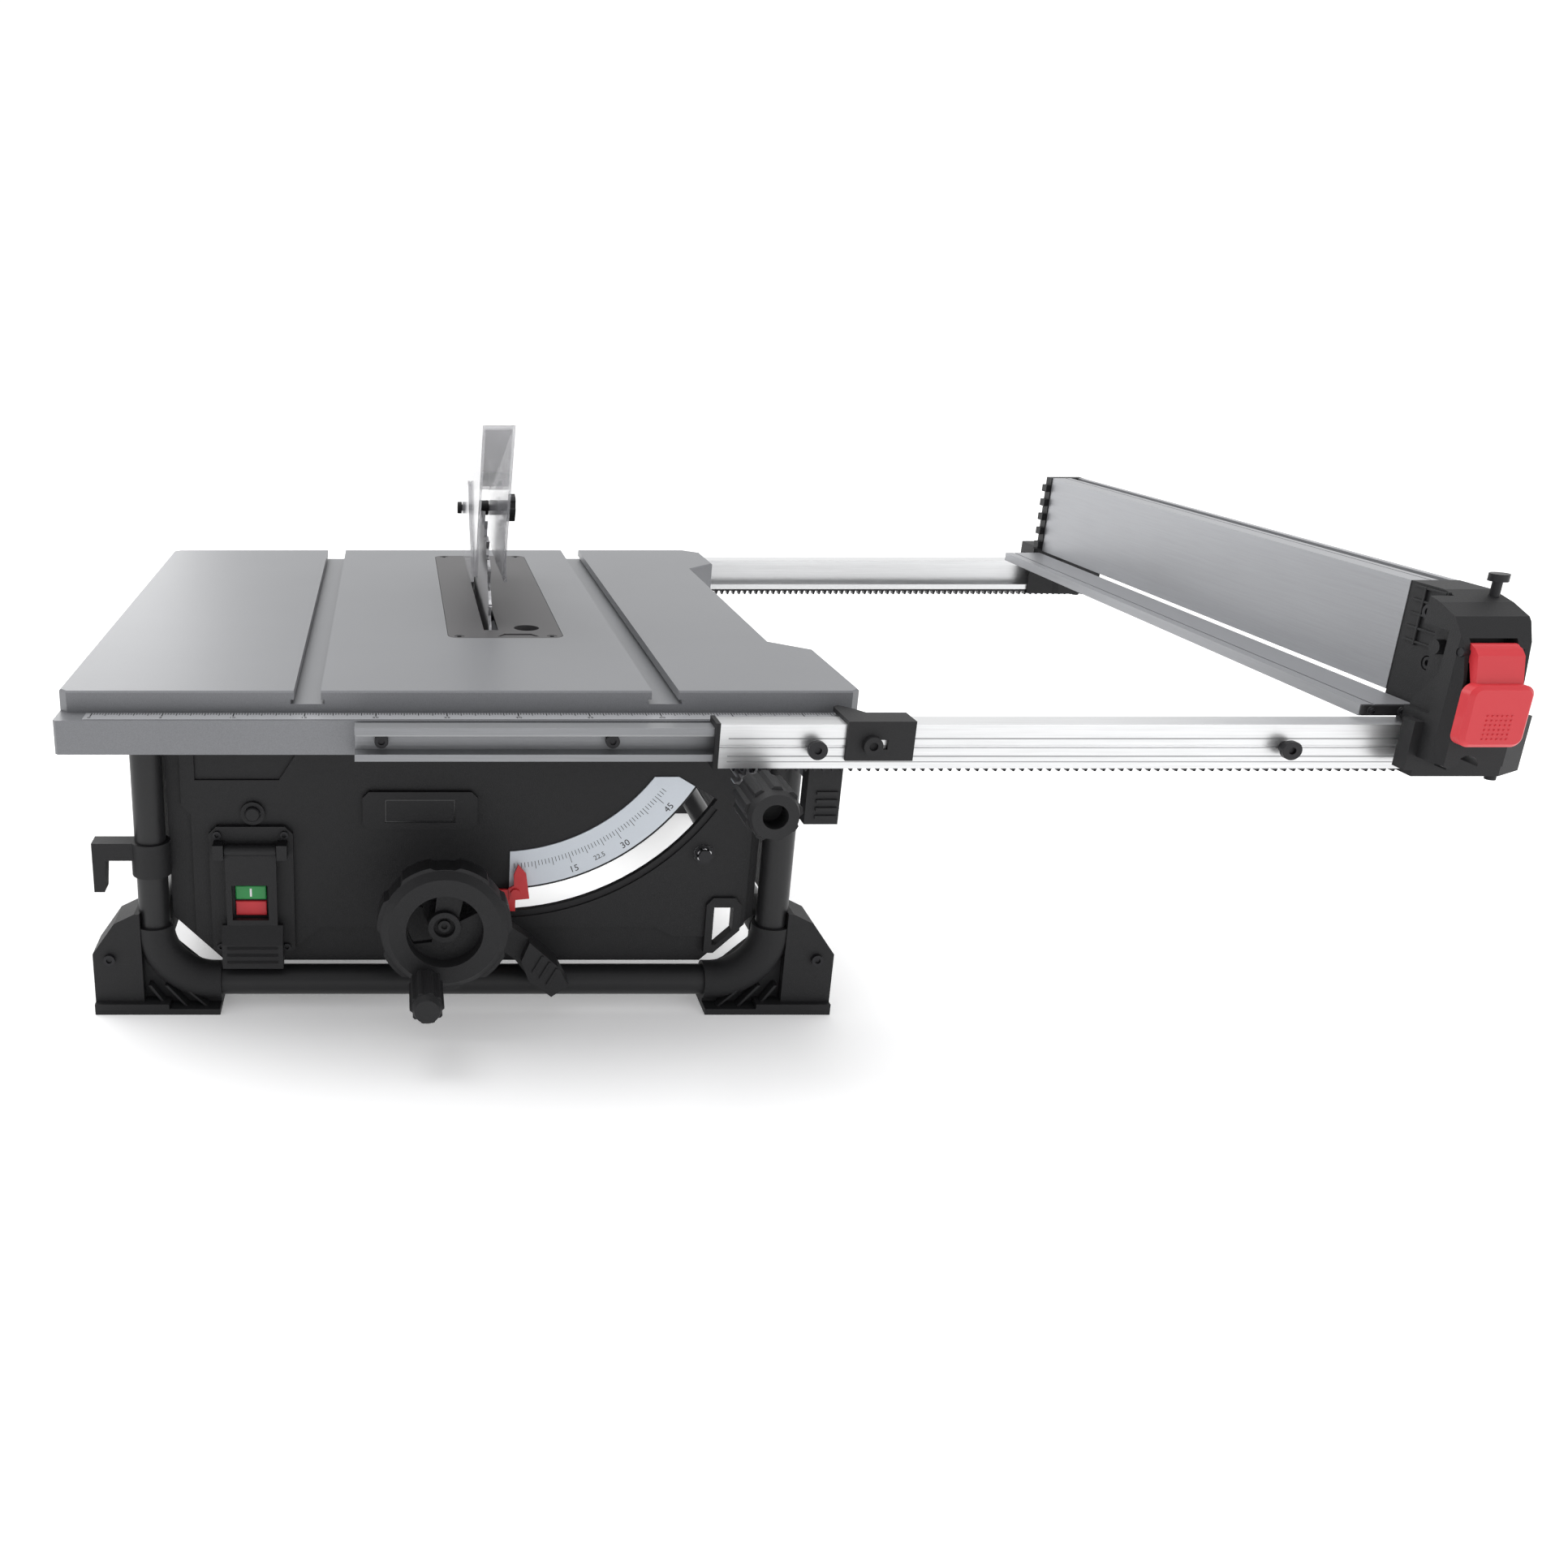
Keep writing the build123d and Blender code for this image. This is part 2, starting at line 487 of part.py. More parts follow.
def stop_paddle():
    x0, x1 = SWITCH_X0 + 12.7, SWITCH_X1 - 12.7
    low = SWITCH_Z0 - 4.0
    flap = block(x0, x1, PADDLE_Y - 2.5, PADDLE_Y + 1.5, low + 20.0, PADDLE_Z)
    profile = [(PADDLE_Y + 1.5, low + 34.0), (PADDLE_Y - 2.5, low + 34.0), (PADDLE_Y - 9.0, low + 20.0),
               (PADDLE_Y - 9.0, low), (PADDLE_Y + 1.5, low)]
    flap += prism("X", profile, x0 - 4.0, x1 + 4.0)
    for k in range(3):
        z = low + 4.0 + 6.0 * k
        flap += prism("X", [(PADDLE_Y - 8.9, z), (PADDLE_Y - 10.6, z + 1.5), (PADDLE_Y - 8.9, z + 3.0)], x0, x1)
    flap -= block(BUTTON_X0 - 2.0, BUTTON_X1 + 2.0, PADDLE_Y - 12.0, PADDLE_Y + 3.0, STOP_Z0 - 1.0, START_Z1 + 3.0)
    barrel = rod("X", (PADDLE_Y, PADDLE_Z), 4.5, x0, x1)
    pin = rod("X", (PADDLE_Y, PADDLE_Z), 2.5, SWITCH_X0 + 4.5, SWITCH_X1 - 4.5)
    return flap + barrel + pin


def reset_button():
    button = rod("Y", RESET_AT, 5.6, PANEL_Y - 6.0, PANEL_Y + 5.0)
    button = chamfer(button.faces().sort_by(Axis.Y)[0].edges(), 0.8)
    return button + rod("Y", RESET_AT, 3.0, PANEL_Y + 5.0, PANEL_Y + 22.0)


# ---- fasteners ----------------------------------------------------------------------------
def cap_screw(axis, at, head_r, shank_r, head, neck, tip):
    """Socket cap screw; head, neck and tip are stations along the axis."""
    low, high = min(head, neck), max(head, neck)
    screw = rod(axis, at, head_r, low, high) + rod(axis, at, shank_r, min(neck, tip), max(neck, tip))
    inward = 1.0 if neck > head else -1.0
    socket = sorted((head - inward, head + inward * 1.6))
    return screw - rod(axis, at, head_r * 0.5, socket[0], socket[1])


def cover_screws():
    screws = [cap_screw("Z", place, 4.0, 2.0, -0.2, -2.6, -4.9) for place in throat_screw_places()]
    for place in switch_screw_places():
        screws.append(cap_screw("Y", place, 3.2, 1.6, PANEL_Y - 7.0, PANEL_Y - 5.0, PANEL_Y - 2.0))
    washer = rod("Y", (158.0, -144.0), 7.5, PANEL_Y - 1.5, PANEL_Y)
    nut_corners = [(158.0 + 5.8 * cos(radians(60 * k)), -144.0 + 5.8 * sin(radians(60 * k))) for k in range(6)]
    screws.append(washer + prism("Y", nut_corners, PANEL_Y - 7.0, PANEL_Y - 1.5))
    for side in (-1, 1):
        face = HOOP_FRONT_Y - GUSSET_FRONT
        screws.append(cap_screw("Y", foot_screw_place(side), 4.5, 2.0, face - 3.5, face, face + 1.5))
    return screws


def rail_bolts():
    bolts = []
    for x in RAIL_BOLT_X:
        bolts.append(cap_screw("Y", (x, RAIL_MID), 4.8, 2.9, FIXED_WEB - 5.0, FIXED_WEB, -10.0))
    return bolts + [rear(bolt) for bolt in bolts]


# ---- rails --------------------------------------------------------------------------------
def fixed_rail():
    top, bottom = RAIL_TOP - RAIL_WALL - CLEAR - 0.3, RAIL_BOTTOM + RAIL_WALL + CLEAR + 0.3
    front = RAIL_FRONT + RAIL_WALL + CLEAR + 0.3
    neck = 2.5
    profile = [(front, bottom), (FIXED_NECK, bottom), (FIXED_NECK, bottom + neck), (-LEDGE_DEPTH, bottom + neck),
               (-LEDGE_DEPTH, top - neck), (FIXED_NECK, top - neck), (FIXED_NECK, top), (front, top),
               (front, top - 5.0), (FIXED_WEB, top - 5.0), (FIXED_WEB, bottom + 5.0), (front, bottom + 5.0)]
    rail = prism("X", profile, FIXED_START, FIXED_END)
    for x in RAIL_BOLT_X:
        rail -= rod("Y", (x, RAIL_MID), 2.9, -40.0, -10.0)
    return rail


def moving_rail():
    lip = 2.2
    profile = [(RAIL_FRONT, RAIL_BOTTOM), (RAIL_BACK, RAIL_BOTTOM), (RAIL_BACK, RAIL_BOTTOM + RAIL_WALL + lip),
               (RAIL_BACK - 2.0, RAIL_BOTTOM + RAIL_WALL + lip), (RAIL_BACK - 2.0, RAIL_BOTTOM + RAIL_WALL),
               (RAIL_FRONT + RAIL_WALL, RAIL_BOTTOM + RAIL_WALL), (RAIL_FRONT + RAIL_WALL, RAIL_TOP - RAIL_WALL),
               (RAIL_BACK - 2.0, RAIL_TOP - RAIL_WALL), (RAIL_BACK - 2.0, RAIL_TOP - RAIL_WALL - lip),
               (RAIL_BACK, RAIL_TOP - RAIL_WALL - lip), (RAIL_BACK, RAIL_TOP), (RAIL_FRONT, RAIL_TOP),
               (RAIL_FRONT, RAIL_MID + 1.2), (RAIL_FRONT + 1.0, RAIL_MID + 0.6), (RAIL_FRONT + 1.0, RAIL_MID - 0.6),
               (RAIL_FRONT, RAIL_MID - 1.2)]
    return prism("X", profile, RAIL_START, RAIL_END)


def rack():
    pitch = pi * RACK_MODULE
    tip, root, back = RACK_PITCH_Z - 1.8, RACK_PITCH_Z + 2.2, RAIL_BOTTOM
    points = [(RACK_START, back), (RACK_START, root)]
    count = int((RACK_END - RACK_START) / pitch) - 1
    first = PINION_X - pitch * int((PINION_X - RACK_START) / pitch - 0.5)
    for k in range(count):
        x = first + pitch * k
        points += [(x - 1.75, root), (x - 0.5, tip), (x + 0.5, tip), (x + 1.75, root)]
    points += [(RACK_END, root), (RACK_END, back)]
    return prism("Y", points, RAIL_BACK - RACK_FACE, RAIL_BACK)


def rail_end_cap():
    plan = [(RAIL_END - 26.0, -47.0), (RAIL_END + 34.0, -47.0), (RAIL_END + 57.0, -34.0), (RAIL_END + 50.0, -18.0),
            (RAIL_END + 6.0, -16.0), (RAIL_END, -18.0), (RAIL_END - 26.0, -20.0)]
    cap = prism("Z", plan, RAIL_BOTTOM - 4.0, RAIL_TOP + 4.0)
    inside = block(RAIL_END - 40.0, RAIL_END, RAIL_FRONT, RAIL_BACK, RAIL_BOTTOM, RAIL_TOP)
    front_cut = prism("X", [(-60.0, -14.0), (-60.0, 6.0), (-30.0, 6.0)], RAIL_END - 40.0, RAIL_END + 80.0)
    rack_room = block(RAIL_END - 40.0, RACK_END, RAIL_BACK - RACK_FACE, RAIL_BACK, RAIL_BOTTOM - 9.0, RAIL_BOTTOM)
    pin_room = rod("Y", (PIN_STATIONS[-1], PIN_Z), 4.0, -60.0, RAIL_FRONT)
    cap = cap - inside - front_cut - rack_room - pin_room
    cap += rod("Z", (RAIL_END + 36.0, -38.0), 3.5, RAIL_BOTTOM - 9.0, RAIL_BOTTOM - 3.0)
    return max(cap.solids(), key=lambda s: s.volume)


def rail_start_cap():
    cap = block(RAIL_START - 3.0, RAIL_START, RAIL_FRONT - 1.0, RAIL_BACK, RAIL_BOTTOM - 1.0, RAIL_TOP + 1.0)
    profile = block(RAIL_START - 4.0, RAIL_START + 1.0, RAIL_FRONT + RAIL_WALL + 0.1, RAIL_BACK + 1.0,
                    RAIL_BOTTOM + RAIL_WALL + 0.1, RAIL_TOP - RAIL_WALL - 0.1)
    return cap - profile


def rail_end_caps():
    caps = [rail_end_cap(), rail_start_cap()]
    return caps + [rear(cap) for cap in caps]


def fence_pins():
    pins = []
    for x in PIN_STATIONS:
        reach = -66.0 if x == PIN_STATIONS[-1] else RAIL_FRONT - 7.0
        pin = rod("Y", (x, PIN_Z), 4.0, reach, RAIL_FRONT + RAIL_WALL)
        pin += rod("Y", (x, PIN_Z), 6.5, reach - 3.0, reach + 1.0)
        pin -= rod("Y", (x, PIN_Z), 2.5, reach - 4.0, reach - 1.0)
        pins.append(pin)
    cut = block(0.0, 800.0, RAIL_FRONT, RAIL_FRONT + RAIL_WALL + 1.0, RAIL_BOTTOM, RAIL_TOP)
    trimmed = [pin - cut for pin in pins]
    rear_pins = [rod("Y", (x, PIN_Z), 4.0, RAIL_FRONT - 7.0, RAIL_FRONT) for x in PIN_STATIONS]
    return trimmed + [rear(pin) for pin in rear_pins]


def rail_pointer():
    plate = block(227.0, 273.0, RAIL_FRONT - 3.0, RAIL_FRONT, -37.0, RAIL_TOP + 3.0)
    plate += block(227.0, 273.0, RAIL_FRONT - 3.0, RAIL_BACK, RAIL_TOP, RAIL_TOP + 3.0)
    tip = prism("Z", [(227.0, RAIL_FRONT), (227.0, -8.0), (231.0, -4.0), (240.0, -14.0), (246.0, RAIL_BACK - 1.0)],
                RAIL_TOP, RAIL_TOP + 3.0)
    plate += tip
    plate -= block(240.0, 255.0, RAIL_FRONT - 4.0, RAIL_FRONT + 1.0, -29.0, -22.0)
    bolt = rod("Y", (244.0, -25.5), 6.5, RAIL_FRONT - 7.5, RAIL_FRONT - 3.0)
    bolt += rod("Y", (244.0, -25.5), 3.0, RAIL_FRONT - 3.0, RAIL_FRONT)
    return [plate, bolt - rod("Y", (244.0, -25.5), 3.0, RAIL_FRONT - 8.0, RAIL_FRONT - 5.0)]


def pinion_shaft():
    shaft = rod("Y", (PINION_X, SHAFT_Z), SHAFT_R, -60.0, REAR_MIRROR - RAIL_FRONT - 8.0)
    gears = gear("Y", (PINION_X, SHAFT_Z), RAIL_PINION_TEETH, RACK_MODULE, RAIL_BACK - RACK_FACE - 1.0,
                 RAIL_BACK + 1.0, slim=0.7, phase=90.0 + 180.0 / RAIL_PINION_TEETH)
    return shaft + gears + rear(gears)


def rail_knob():
    at = (PINION_X, SHAFT_Z)
    points = []
    lobes = 9
    steps = 6
    for k in range(lobes * steps):
        wave = 1.0 if k % steps < 3 else 0.0
        angle = 2 * pi * k / (lobes * steps)
        radius = 17.3 + 2.0 * wave
        points.append((at[0] + radius * cos(angle), at[1] + radius * sin(angle)))
    knob = prism("Y", points, -94.0, -60.0)
    knob += Pos(at[0], -97.0, at[1]) * Rot(90, 0, 0) * Cone(17.3, 15.5, 6.0)
    knob += Pos(at[0], -55.0, at[1]) * Rot(90, 0, 0) * Cone(11.0, 17.3, 10.0)
    knob += rod("Y", at, 11.0, -50.0, -44.0)
    knob -= rod("Y", at, 8.5, -101.0, -84.0)
    return knob - rod("Y", at, SHAFT_R, -60.0, -40.0)


def rail_lock_lever():
    body = block(LOCK_X - 12.0, LOCK_X + 12.0, LOCK_Y0, LOCK_Y1, LOCK_Z - 37.0, LOCK_Z + 5.0)
    body += rod("Y", (LOCK_X, LOCK_Z), 12.0, LOCK_Y0, LOCK_Y1)
    for k in range(4):
        z = LOCK_Z - 12.0 - 6.0 * k
        body += block(LOCK_X - 5.0, LOCK_X + 10.0, LOCK_Y0 - 1.6, LOCK_Y0 + 1.0, z - 2.5, z)
    body += rod("Y", (LOCK_X, LOCK_Z), 5.0, LOCK_Y1 - 1.0, LOCK_Y1 + 22.0)
    return body + rod("Y", (LOCK_X, LOCK_Z), 8.0, LOCK_Y1 + 18.0 + CLEAR, LOCK_Y1 + 22.0)


# ---- fence --------------------------------------------------------------------------------
def fence_beam():
    x, wide, low = FENCE_X, FENCE_WIDTH, 1.5
    body = block(x, x + wide, FENCE_FRONT, FENCE_REAR, low, FENCE_TOP)
    body -= block(x + 2.5, x + 12.5, FENCE_FRONT - 1.0, FENCE_REAR + 1.0, low + 2.5, FENCE_TOP - 2.5)
    body -= block(x + 15.0, x + wide - 2.5, FENCE_FRONT - 1.0, FENCE_REAR + 1.0, low + 2.5, FENCE_TOP - 12.0)
    body -= block(x + 19.0, x + 27.0, FENCE_FRONT - 1.0, FENCE_REAR + 1.0, FENCE_TOP - 6.0, FENCE_TOP + 1.0)
    body -= block(x + 16.0, x + wide - 3.0, FENCE_FRONT - 1.0, FENCE_REAR + 1.0, FENCE_TOP - 9.5, FENCE_TOP - 4.0)
    return body - block(x + 13.0, x + 14.2, FENCE_FRONT - 1.0, FENCE_REAR + 1.0, FENCE_TOP - 1.6, FENCE_TOP + 1.0)


def fence_head():
    x0, x1 = FENCE_X - 15.0, FENCE_X + 33.0
    profile = [(FENCE_FRONT, -6.0), (FENCE_FRONT, FENCE_TOP), (-30.0, FENCE_TOP), (-50.0, 74.0), (-66.0, 68.0),
               (-78.0, 54.0), (-83.0, 30.0), (-84.0, 0.0), (-84.0, -28.0), (-52.0, -28.0), (-52.0, -6.0)]
    head = prism("X", profile, x0, x1)
    outer_cut = [(x1 + 1.0, -90.0), (x1 - 9.0, -90.0), (x1 + 1.0, -66.0)]
    head -= prism("Z", outer_cut, -30.0, FENCE_TOP + 1.0)
    head -= prism("Z", [(x0 - 1.0, -90.0), (x0 + 5.0, -90.0), (x0 - 1.0, -72.0)], -30.0, FENCE_TOP + 1.0)
    notch = block(x0 - 1.0, FENCE_X + 0.5, -40.0, FENCE_FRONT + 1.0, -7.0, FENCE_TOP + 1.0)
    head -= notch
    for place, radius, sunk in FLANK_SCREWS:
        head -= rod("X", place, 2.0, FENCE_X - 1.0, FENCE_X + sunk + 2.0)
        head -= rod("X", place, radius + 0.8, FENCE_X - 1.0, FENCE_X + 0.5 + sunk)
    head -= block(x0 - 1.0, x0 + 9.0, -64.0, -39.0, 2.0, 58.0)
    head += prism("X", [(-64.0, 2.0), (-41.0, 2.0), (-41.0, 5.0), (-61.0, 30.0), (-64.0, 30.0)], x0 + 3.0, x0 + 9.5)
    head += rod("X", (-50.0, 44.0), 5.0, x0 + 3.0, x0 + 9.5)
    head -= rod("Z", THUMB_AT, 3.0, 70.0, 90.0)
    head -= rod("Y", (HINGE_X, HINGE_Z), 1.6, -46.0, -39.0)
    jaw = block(FENCE_X - 21.0, FENCE_X + 14.0, -62.0, -50.0, -38.0, -4.0)
    head += jaw
    head -= block(PIN_STATIONS[-1] - 4.0 - CLEAR, PIN_STATIONS[-1] + 4.0 + CLEAR, -90.0, -49.0, -60.0,
                  PIN_Z + 4.0 + CLEAR)
    head -= rod("Y", (PIN_STATIONS[-1], PIN_Z), 7.2, -90.0, -62.0)
    head -= block(PIN_STATIONS[-1] - 7.2, PIN_STATIONS[-1] + 7.2, -90.0, -62.0, -60.0, PIN_Z)
    head -= block(LATCH_X0 - CLEAR, LATCH_X1 + CLEAR, -90.0, LATCH_Y + 8.0, LATCH_Z - 22.0, LATCH_Z + 9.0)
    head -= rod("X", (LATCH_Y, LATCH_Z), 3.0 + RUNNING, LATCH_X0 - 5.0, LATCH_X1 + 5.0)
    return max(head.solids(), key=lambda s: s.volume)


def fence_rear_cap():
    x0, x1 = FENCE_X - 1.0, FENCE_X + FENCE_WIDTH + 1.0
    y0 = FENCE_REAR
    cap = block(x0, x1, y0, y0 + 12.0, -6.0, FENCE_TOP) + block(HINGE_X - 5.0, x1, y0, y0 + 8.0, -6.0, 4.0)
    cap -= rod("Y", (HINGE_X, HINGE_Z), 1.6, y0 - 1.0, y0 + 6.0)
    for k in range(5):
        z = 4.0 + 15.0 * k
        cap += block(x0 - 4.0, x0 + 1.0, y0 + 1.0, y0 + 11.0, z, z + 7.0)
    outside = REAR_MIRROR - RAIL_FRONT + 6.0
    cap += block(x0, x1, y0 + 11.0, outside + 8.0, RAIL_TOP + 5.5, 4.0)
    hook = block(x0, x1, outside, outside + 8.0, -38.0, 0.0)
    hook -= block(PIN_STATIONS[-1] - 4.4, PIN_STATIONS[-1] + 4.4, outside - 2.0, 640.0, -50.0, PIN_Z + 4.4)
    return cap + hook


def fence_ledge():
    y0, y1 = FENCE_LEDGE_FRONT, FENCE_REAR - 3.0
    left = FENCE_X - LEDGE_WIDTH
    ledge = block(left, HINGE_X, y0, y1, -LEDGE_THICK, 0.0)
    ledge += rod("Y", (HINGE_X, HINGE_Z), 3.0, y0, y1)
    ledge += block(left, left + 2.5, y0, y1, -8.0, 0.0)
    ledge -= block(left + 8.0, left + 9.5, y0 - 1.0, y1 + 1.0, -1.0, 1.0)
    cut = rod("Y", (HINGE_X, HINGE_Z), 1.6 + RUNNING, y0 - 1.0, y1 + 1.0)
    return ledge - cut


def fence_screws():
    screws = [rod("Y", (HINGE_X, HINGE_Z), 1.6, -45.0, FENCE_REAR + 6.0)]
    for place, radius, sunk in FLANK_SCREWS:
        neck = FENCE_X + 0.5 + sunk
        screws.append(cap_screw("X", place, radius, 2.0, neck - 3.2, neck, neck + 1.3))
    screws.append(rod("Z", THUMB_AT, 3.0, 70.0, 86.0) + rod("Z", THUMB_AT, 6.0, 86.0, 91.0))
    screws.append(rod("X", (LATCH_Y, LATCH_Z), 3.0, LATCH_X0 - 4.5, LATCH_X1 + 4.5))
    return screws


def fence_latch_lever():
    arm = [(LATCH_Y - 6.0, LATCH_Z + 4.0), (LATCH_Y - 10.0, LATCH_Z), (LATCH_Y - 15.0, LATCH_Z - 20.0),
           (LATCH_Y - 19.0, LATCH_Z - 32.0), (LATCH_Y - 11.0, LATCH_Z - 32.0), (LATCH_Y - 9.0, LATCH_Z - 18.0),
           (LATCH_Y - 4.0, LATCH_Z - 6.0), (LATCH_Y, LATCH_Z - 5.0), (LATCH_Y, LATCH_Z + 5.5)]
    lever = prism("X", arm, LATCH_X0, LATCH_X1) + rod("X", (LATCH_Y, LATCH_Z), 6.0, LATCH_X0, LATCH_X1)
    paddle = block(LATCH_X0 - 6.0, LATCH_X1 + 5.0, LATCH_Y - 21.0, LATCH_Y - 11.0, LATCH_Z - 58.0, LATCH_Z - 17.0)
    paddle = fillet(paddle.edges().filter_by(Axis.Y), 7.0)
    paddle = chamfer(paddle.faces().sort_by(Axis.Y)[0].edges(), 2.5)
    lever += paddle
    return lever - rod("X", (LATCH_Y, LATCH_Z), 3.0 + RUNNING, LATCH_X0 - 1.0, LATCH_X1 + 1.0)


# ---- tilting carriage ---------------------------------------------------------------------
def tilt_carriage():
    front = [(-62.0, -28.0), (-28.0, -28.0), (8.0, -48.0), (8.0, -72.0), (-18.0, -100.0), (-18.0, -176.0),
             (14.0, -176.0), (14.0, -192.0), (-18.0, -192.0), (-18.0, -212.0), (-62.0, -212.0)]
    body = prism("Y", front, CARRIAGE_FRONT, CARRIAGE_FRONT + 8.0)
    back = [(-62.0, -28.0), (-28.0, -28.0), (8.0, -48.0), (8.0, -72.0), (-18.0, -100.0), (-24.0, -212.0),
            (-62.0, -212.0)]
    body += prism("Y", back, CARRIAGE_REAR - 8.0, CARRIAGE_REAR)
    body += block(-34.0, -24.0, CARRIAGE_FRONT, CARRIAGE_REAR, -214.0, -28.0)
    body -= block(-36.0, -22.0, WINDOW_FRONT, WINDOW_REAR, -190.0, -20.0)
    for y in (ROD_FRONT_Y, ROD_REAR_Y):
        for z in (-208.0, -28.0):
            low = z if z < -100.0 else z - 8.0
            body += block(-57.0, -33.0, y - 9.0, y + 9.0, low, low + 8.0)
    body += block(-57.0, -33.0, SCREW_Y - 9.0, ROD_FRONT_Y, -36.0, -28.0)
    body += block(-57.0, -33.0, SCREW_Y - 9.0, SCREW_Y + 9.0, -160.0, -152.0)
    for y in (ROD_FRONT_Y, ROD_REAR_Y):
        body -= rod("Z", (ROD_X, y), ROD_R, -208.0, -20.0)
    body -= rod("Z", (WHEEL_X, SCREW_Y), 5.0 + RUNNING, -165.0, -20.0)
    body -= rod("Y", (WHEEL_X, WHEEL_Z), 6.0 + RUNNING, CARRIAGE_FRONT - 1.0, CARRIAGE_FRONT + 9.0)
    for angle in PIN_ANGLES:
        at = swing_point(TRUNNION_R, angle)
        body += rod("Y", at, 6.0, CARRIAGE_FRONT - 15.0, CARRIAGE_FRONT + 1.0)
        body += rod("Y", at, 6.0, CARRIAGE_REAR - 1.0, CARRIAGE_REAR + 15.0)
    return body


def lift_rods():
    return [rod("Z", (ROD_X, y), ROD_R, -206.0, -30.0) for y in (ROD_FRONT_Y, ROD_REAR_Y)]


def lift_screw():
    screw = rod("Z", (WHEEL_X, SCREW_Y), 5.0, WHEEL_Z + 11.0, -26.0)
    cone = Pos(WHEEL_X, SCREW_Y, WHEEL_Z + 14.0) * Cone(6.2, 9.0, 5.0)
    return screw + cone


def bevel_pointer():
    ux, uz = sin(radians(POINTER_ANGLE)), -cos(radians(POINTER_ANGLE))
    vx, vz = -uz, ux

    def at(radius, across):
        return ux * radius + vx * across, uz * radius + vz * across
    points = [at(151.0, 0.0), at(159.0, 5.5), at(180.0, 6.5), at(180.0, -9.0), at(170.0, -9.0), at(168.0, -4.5),
              at(159.0, -4.0)]
    plate = prism("Y", points, POINTER_Y, POINTER_Y + 2.0)
    stalk_at = swing_point((ARC_INNER + ARC_OUTER) / 2, 2.0)
    foot_block = block(stalk_at[0] - 7.0, stalk_at[0] + 7.0, POINTER_Y + 1.0, POINTER_Y + 3.5, stalk_at[1] - 6.0,
                       stalk_at[1] + 12.0)
    stalk = rod("Y", stalk_at, 5.0, POINTER_Y + 2.0, CARRIAGE_FRONT)
    screw = rod("Y", at(174.0, -4.0), 3.6, POINTER_Y - 1.8, POINTER_Y)
    return [plate + foot_block + stalk, screw]


def handwheel():
    at = (WHEEL_X, WHEEL_Z)
    points = []
    steps = 12
    for k in range(WHEEL_LOBES * steps):
        raised = (k % steps) < 7
        angle = 2 * pi * k / (WHEEL_LOBES * steps)
        radius = WHEEL_R + (WHEEL_LOBE if raised else 0.0)
        points.append((at[0] + radius * cos(angle), at[1] + radius * sin(angle)))
    rim = prism("Y", points, WHEEL_FRONT + 5.0, WHEEL_FRONT + 24.0)
    rim += Pos(at[0], WHEEL_FRONT + 2.5, at[1]) * Rot(90, 0, 0) * Cone(WHEEL_R - 0.5, WHEEL_R - 6.0, 5.0)
    rim -= rod("Y", at, WHEEL_OPENING + 4.0, WHEEL_FRONT + 14.0, WHEEL_FRONT + 30.0)
    rim -= rod("Y", at, WHEEL_OPENING, WHEEL_FRONT - 2.0, WHEEL_FRONT + 30.0)
    web = rod("Y", at, WHEEL_OPENING + 2.0, WHEEL_FRONT + 13.0, WHEEL_FRONT + 18.0)
    side = [(at[0] - 40.0, at[1] - 18.0), (at[0] - 9.0, at[1] - 14.0), (at[0] - 4.0, at[1] + 40.0),
            (at[0] - 40.0, at[1] + 40.0)]
    web -= prism("Y", side, WHEEL_FRONT, WHEEL_FRONT + 30.0) & rod("Y", at, WHEEL_OPENING - 1.0, -30.0, 30.0)
    other = [(at[0] + 40.0, at[1] + 18.0), (at[0] + 10.0, at[1] + 2.0), (at[0] + 16.0, at[1] + 30.0)]
    web -= prism("Y", other, WHEEL_FRONT, WHEEL_FRONT + 30.0) & rod("Y", at, WHEEL_OPENING - 1.0, -30.0, 30.0)
    hub = rod("Y", at, 12.0, WHEEL_FRONT + 8.0, 14.0) - rod("Y", at, 8.0, WHEEL_FRONT, WHEEL_FRONT + 14.0)
    screw = rod("Y", at, 4.6, WHEEL_FRONT + 10.0, WHEEL_FRONT + 14.5)
    screw -= rod("Y", at, 2.3, WHEEL_FRONT + 9.0, WHEEL_FRONT + 12.0)
    shaft = rod("Y", at, 6.0, 10.0, SCREW_Y - 9.0)
    cone = Pos(at[0], SCREW_Y - 14.0, at[1]) * Rot(90, 0, 0) * Cone(6.2, 9.0, 5.0)
    crank_at = (at[0] + CRANK_OFFSET[0], at[1] + CRANK_OFFSET[1])
    boss = rod("Y", crank_at, 7.5, WHEEL_FRONT - 7.0, WHEEL_FRONT + 8.0)
    pin = rod("Y", crank_at, 4.0, CRANK_FRONT + 5.0, WHEEL_FRONT)
    return rim + web + hub + screw + shaft + cone + boss + pin


def crank_knob():
    at = (WHEEL_X + CRANK_OFFSET[0], WHEEL_Z + CRANK_OFFSET[1])
    points = []
    lobes = 10
    for k in range(lobes * 4):
        angle = 2 * pi * k / (lobes * 4)
        radius = CRANK_R if k % 4 < 2 else CRANK_R - 1.5
        points.append((at[0] + radius * cos(angle), at[1] + radius * sin(angle)))
    knob = prism("Y", points, CRANK_FRONT + 6.0, WHEEL_FRONT - 7.5)
    knob += Pos(at[0], CRANK_FRONT + 3.0, at[1]) * Rot(90, 0, 0) * Cone(CRANK_R - 1.5, CRANK_R - 3.5, 6.0)
    return knob - rod("Y", at, 4.0 + RUNNING, CRANK_FRONT + 4.6, 0.0)


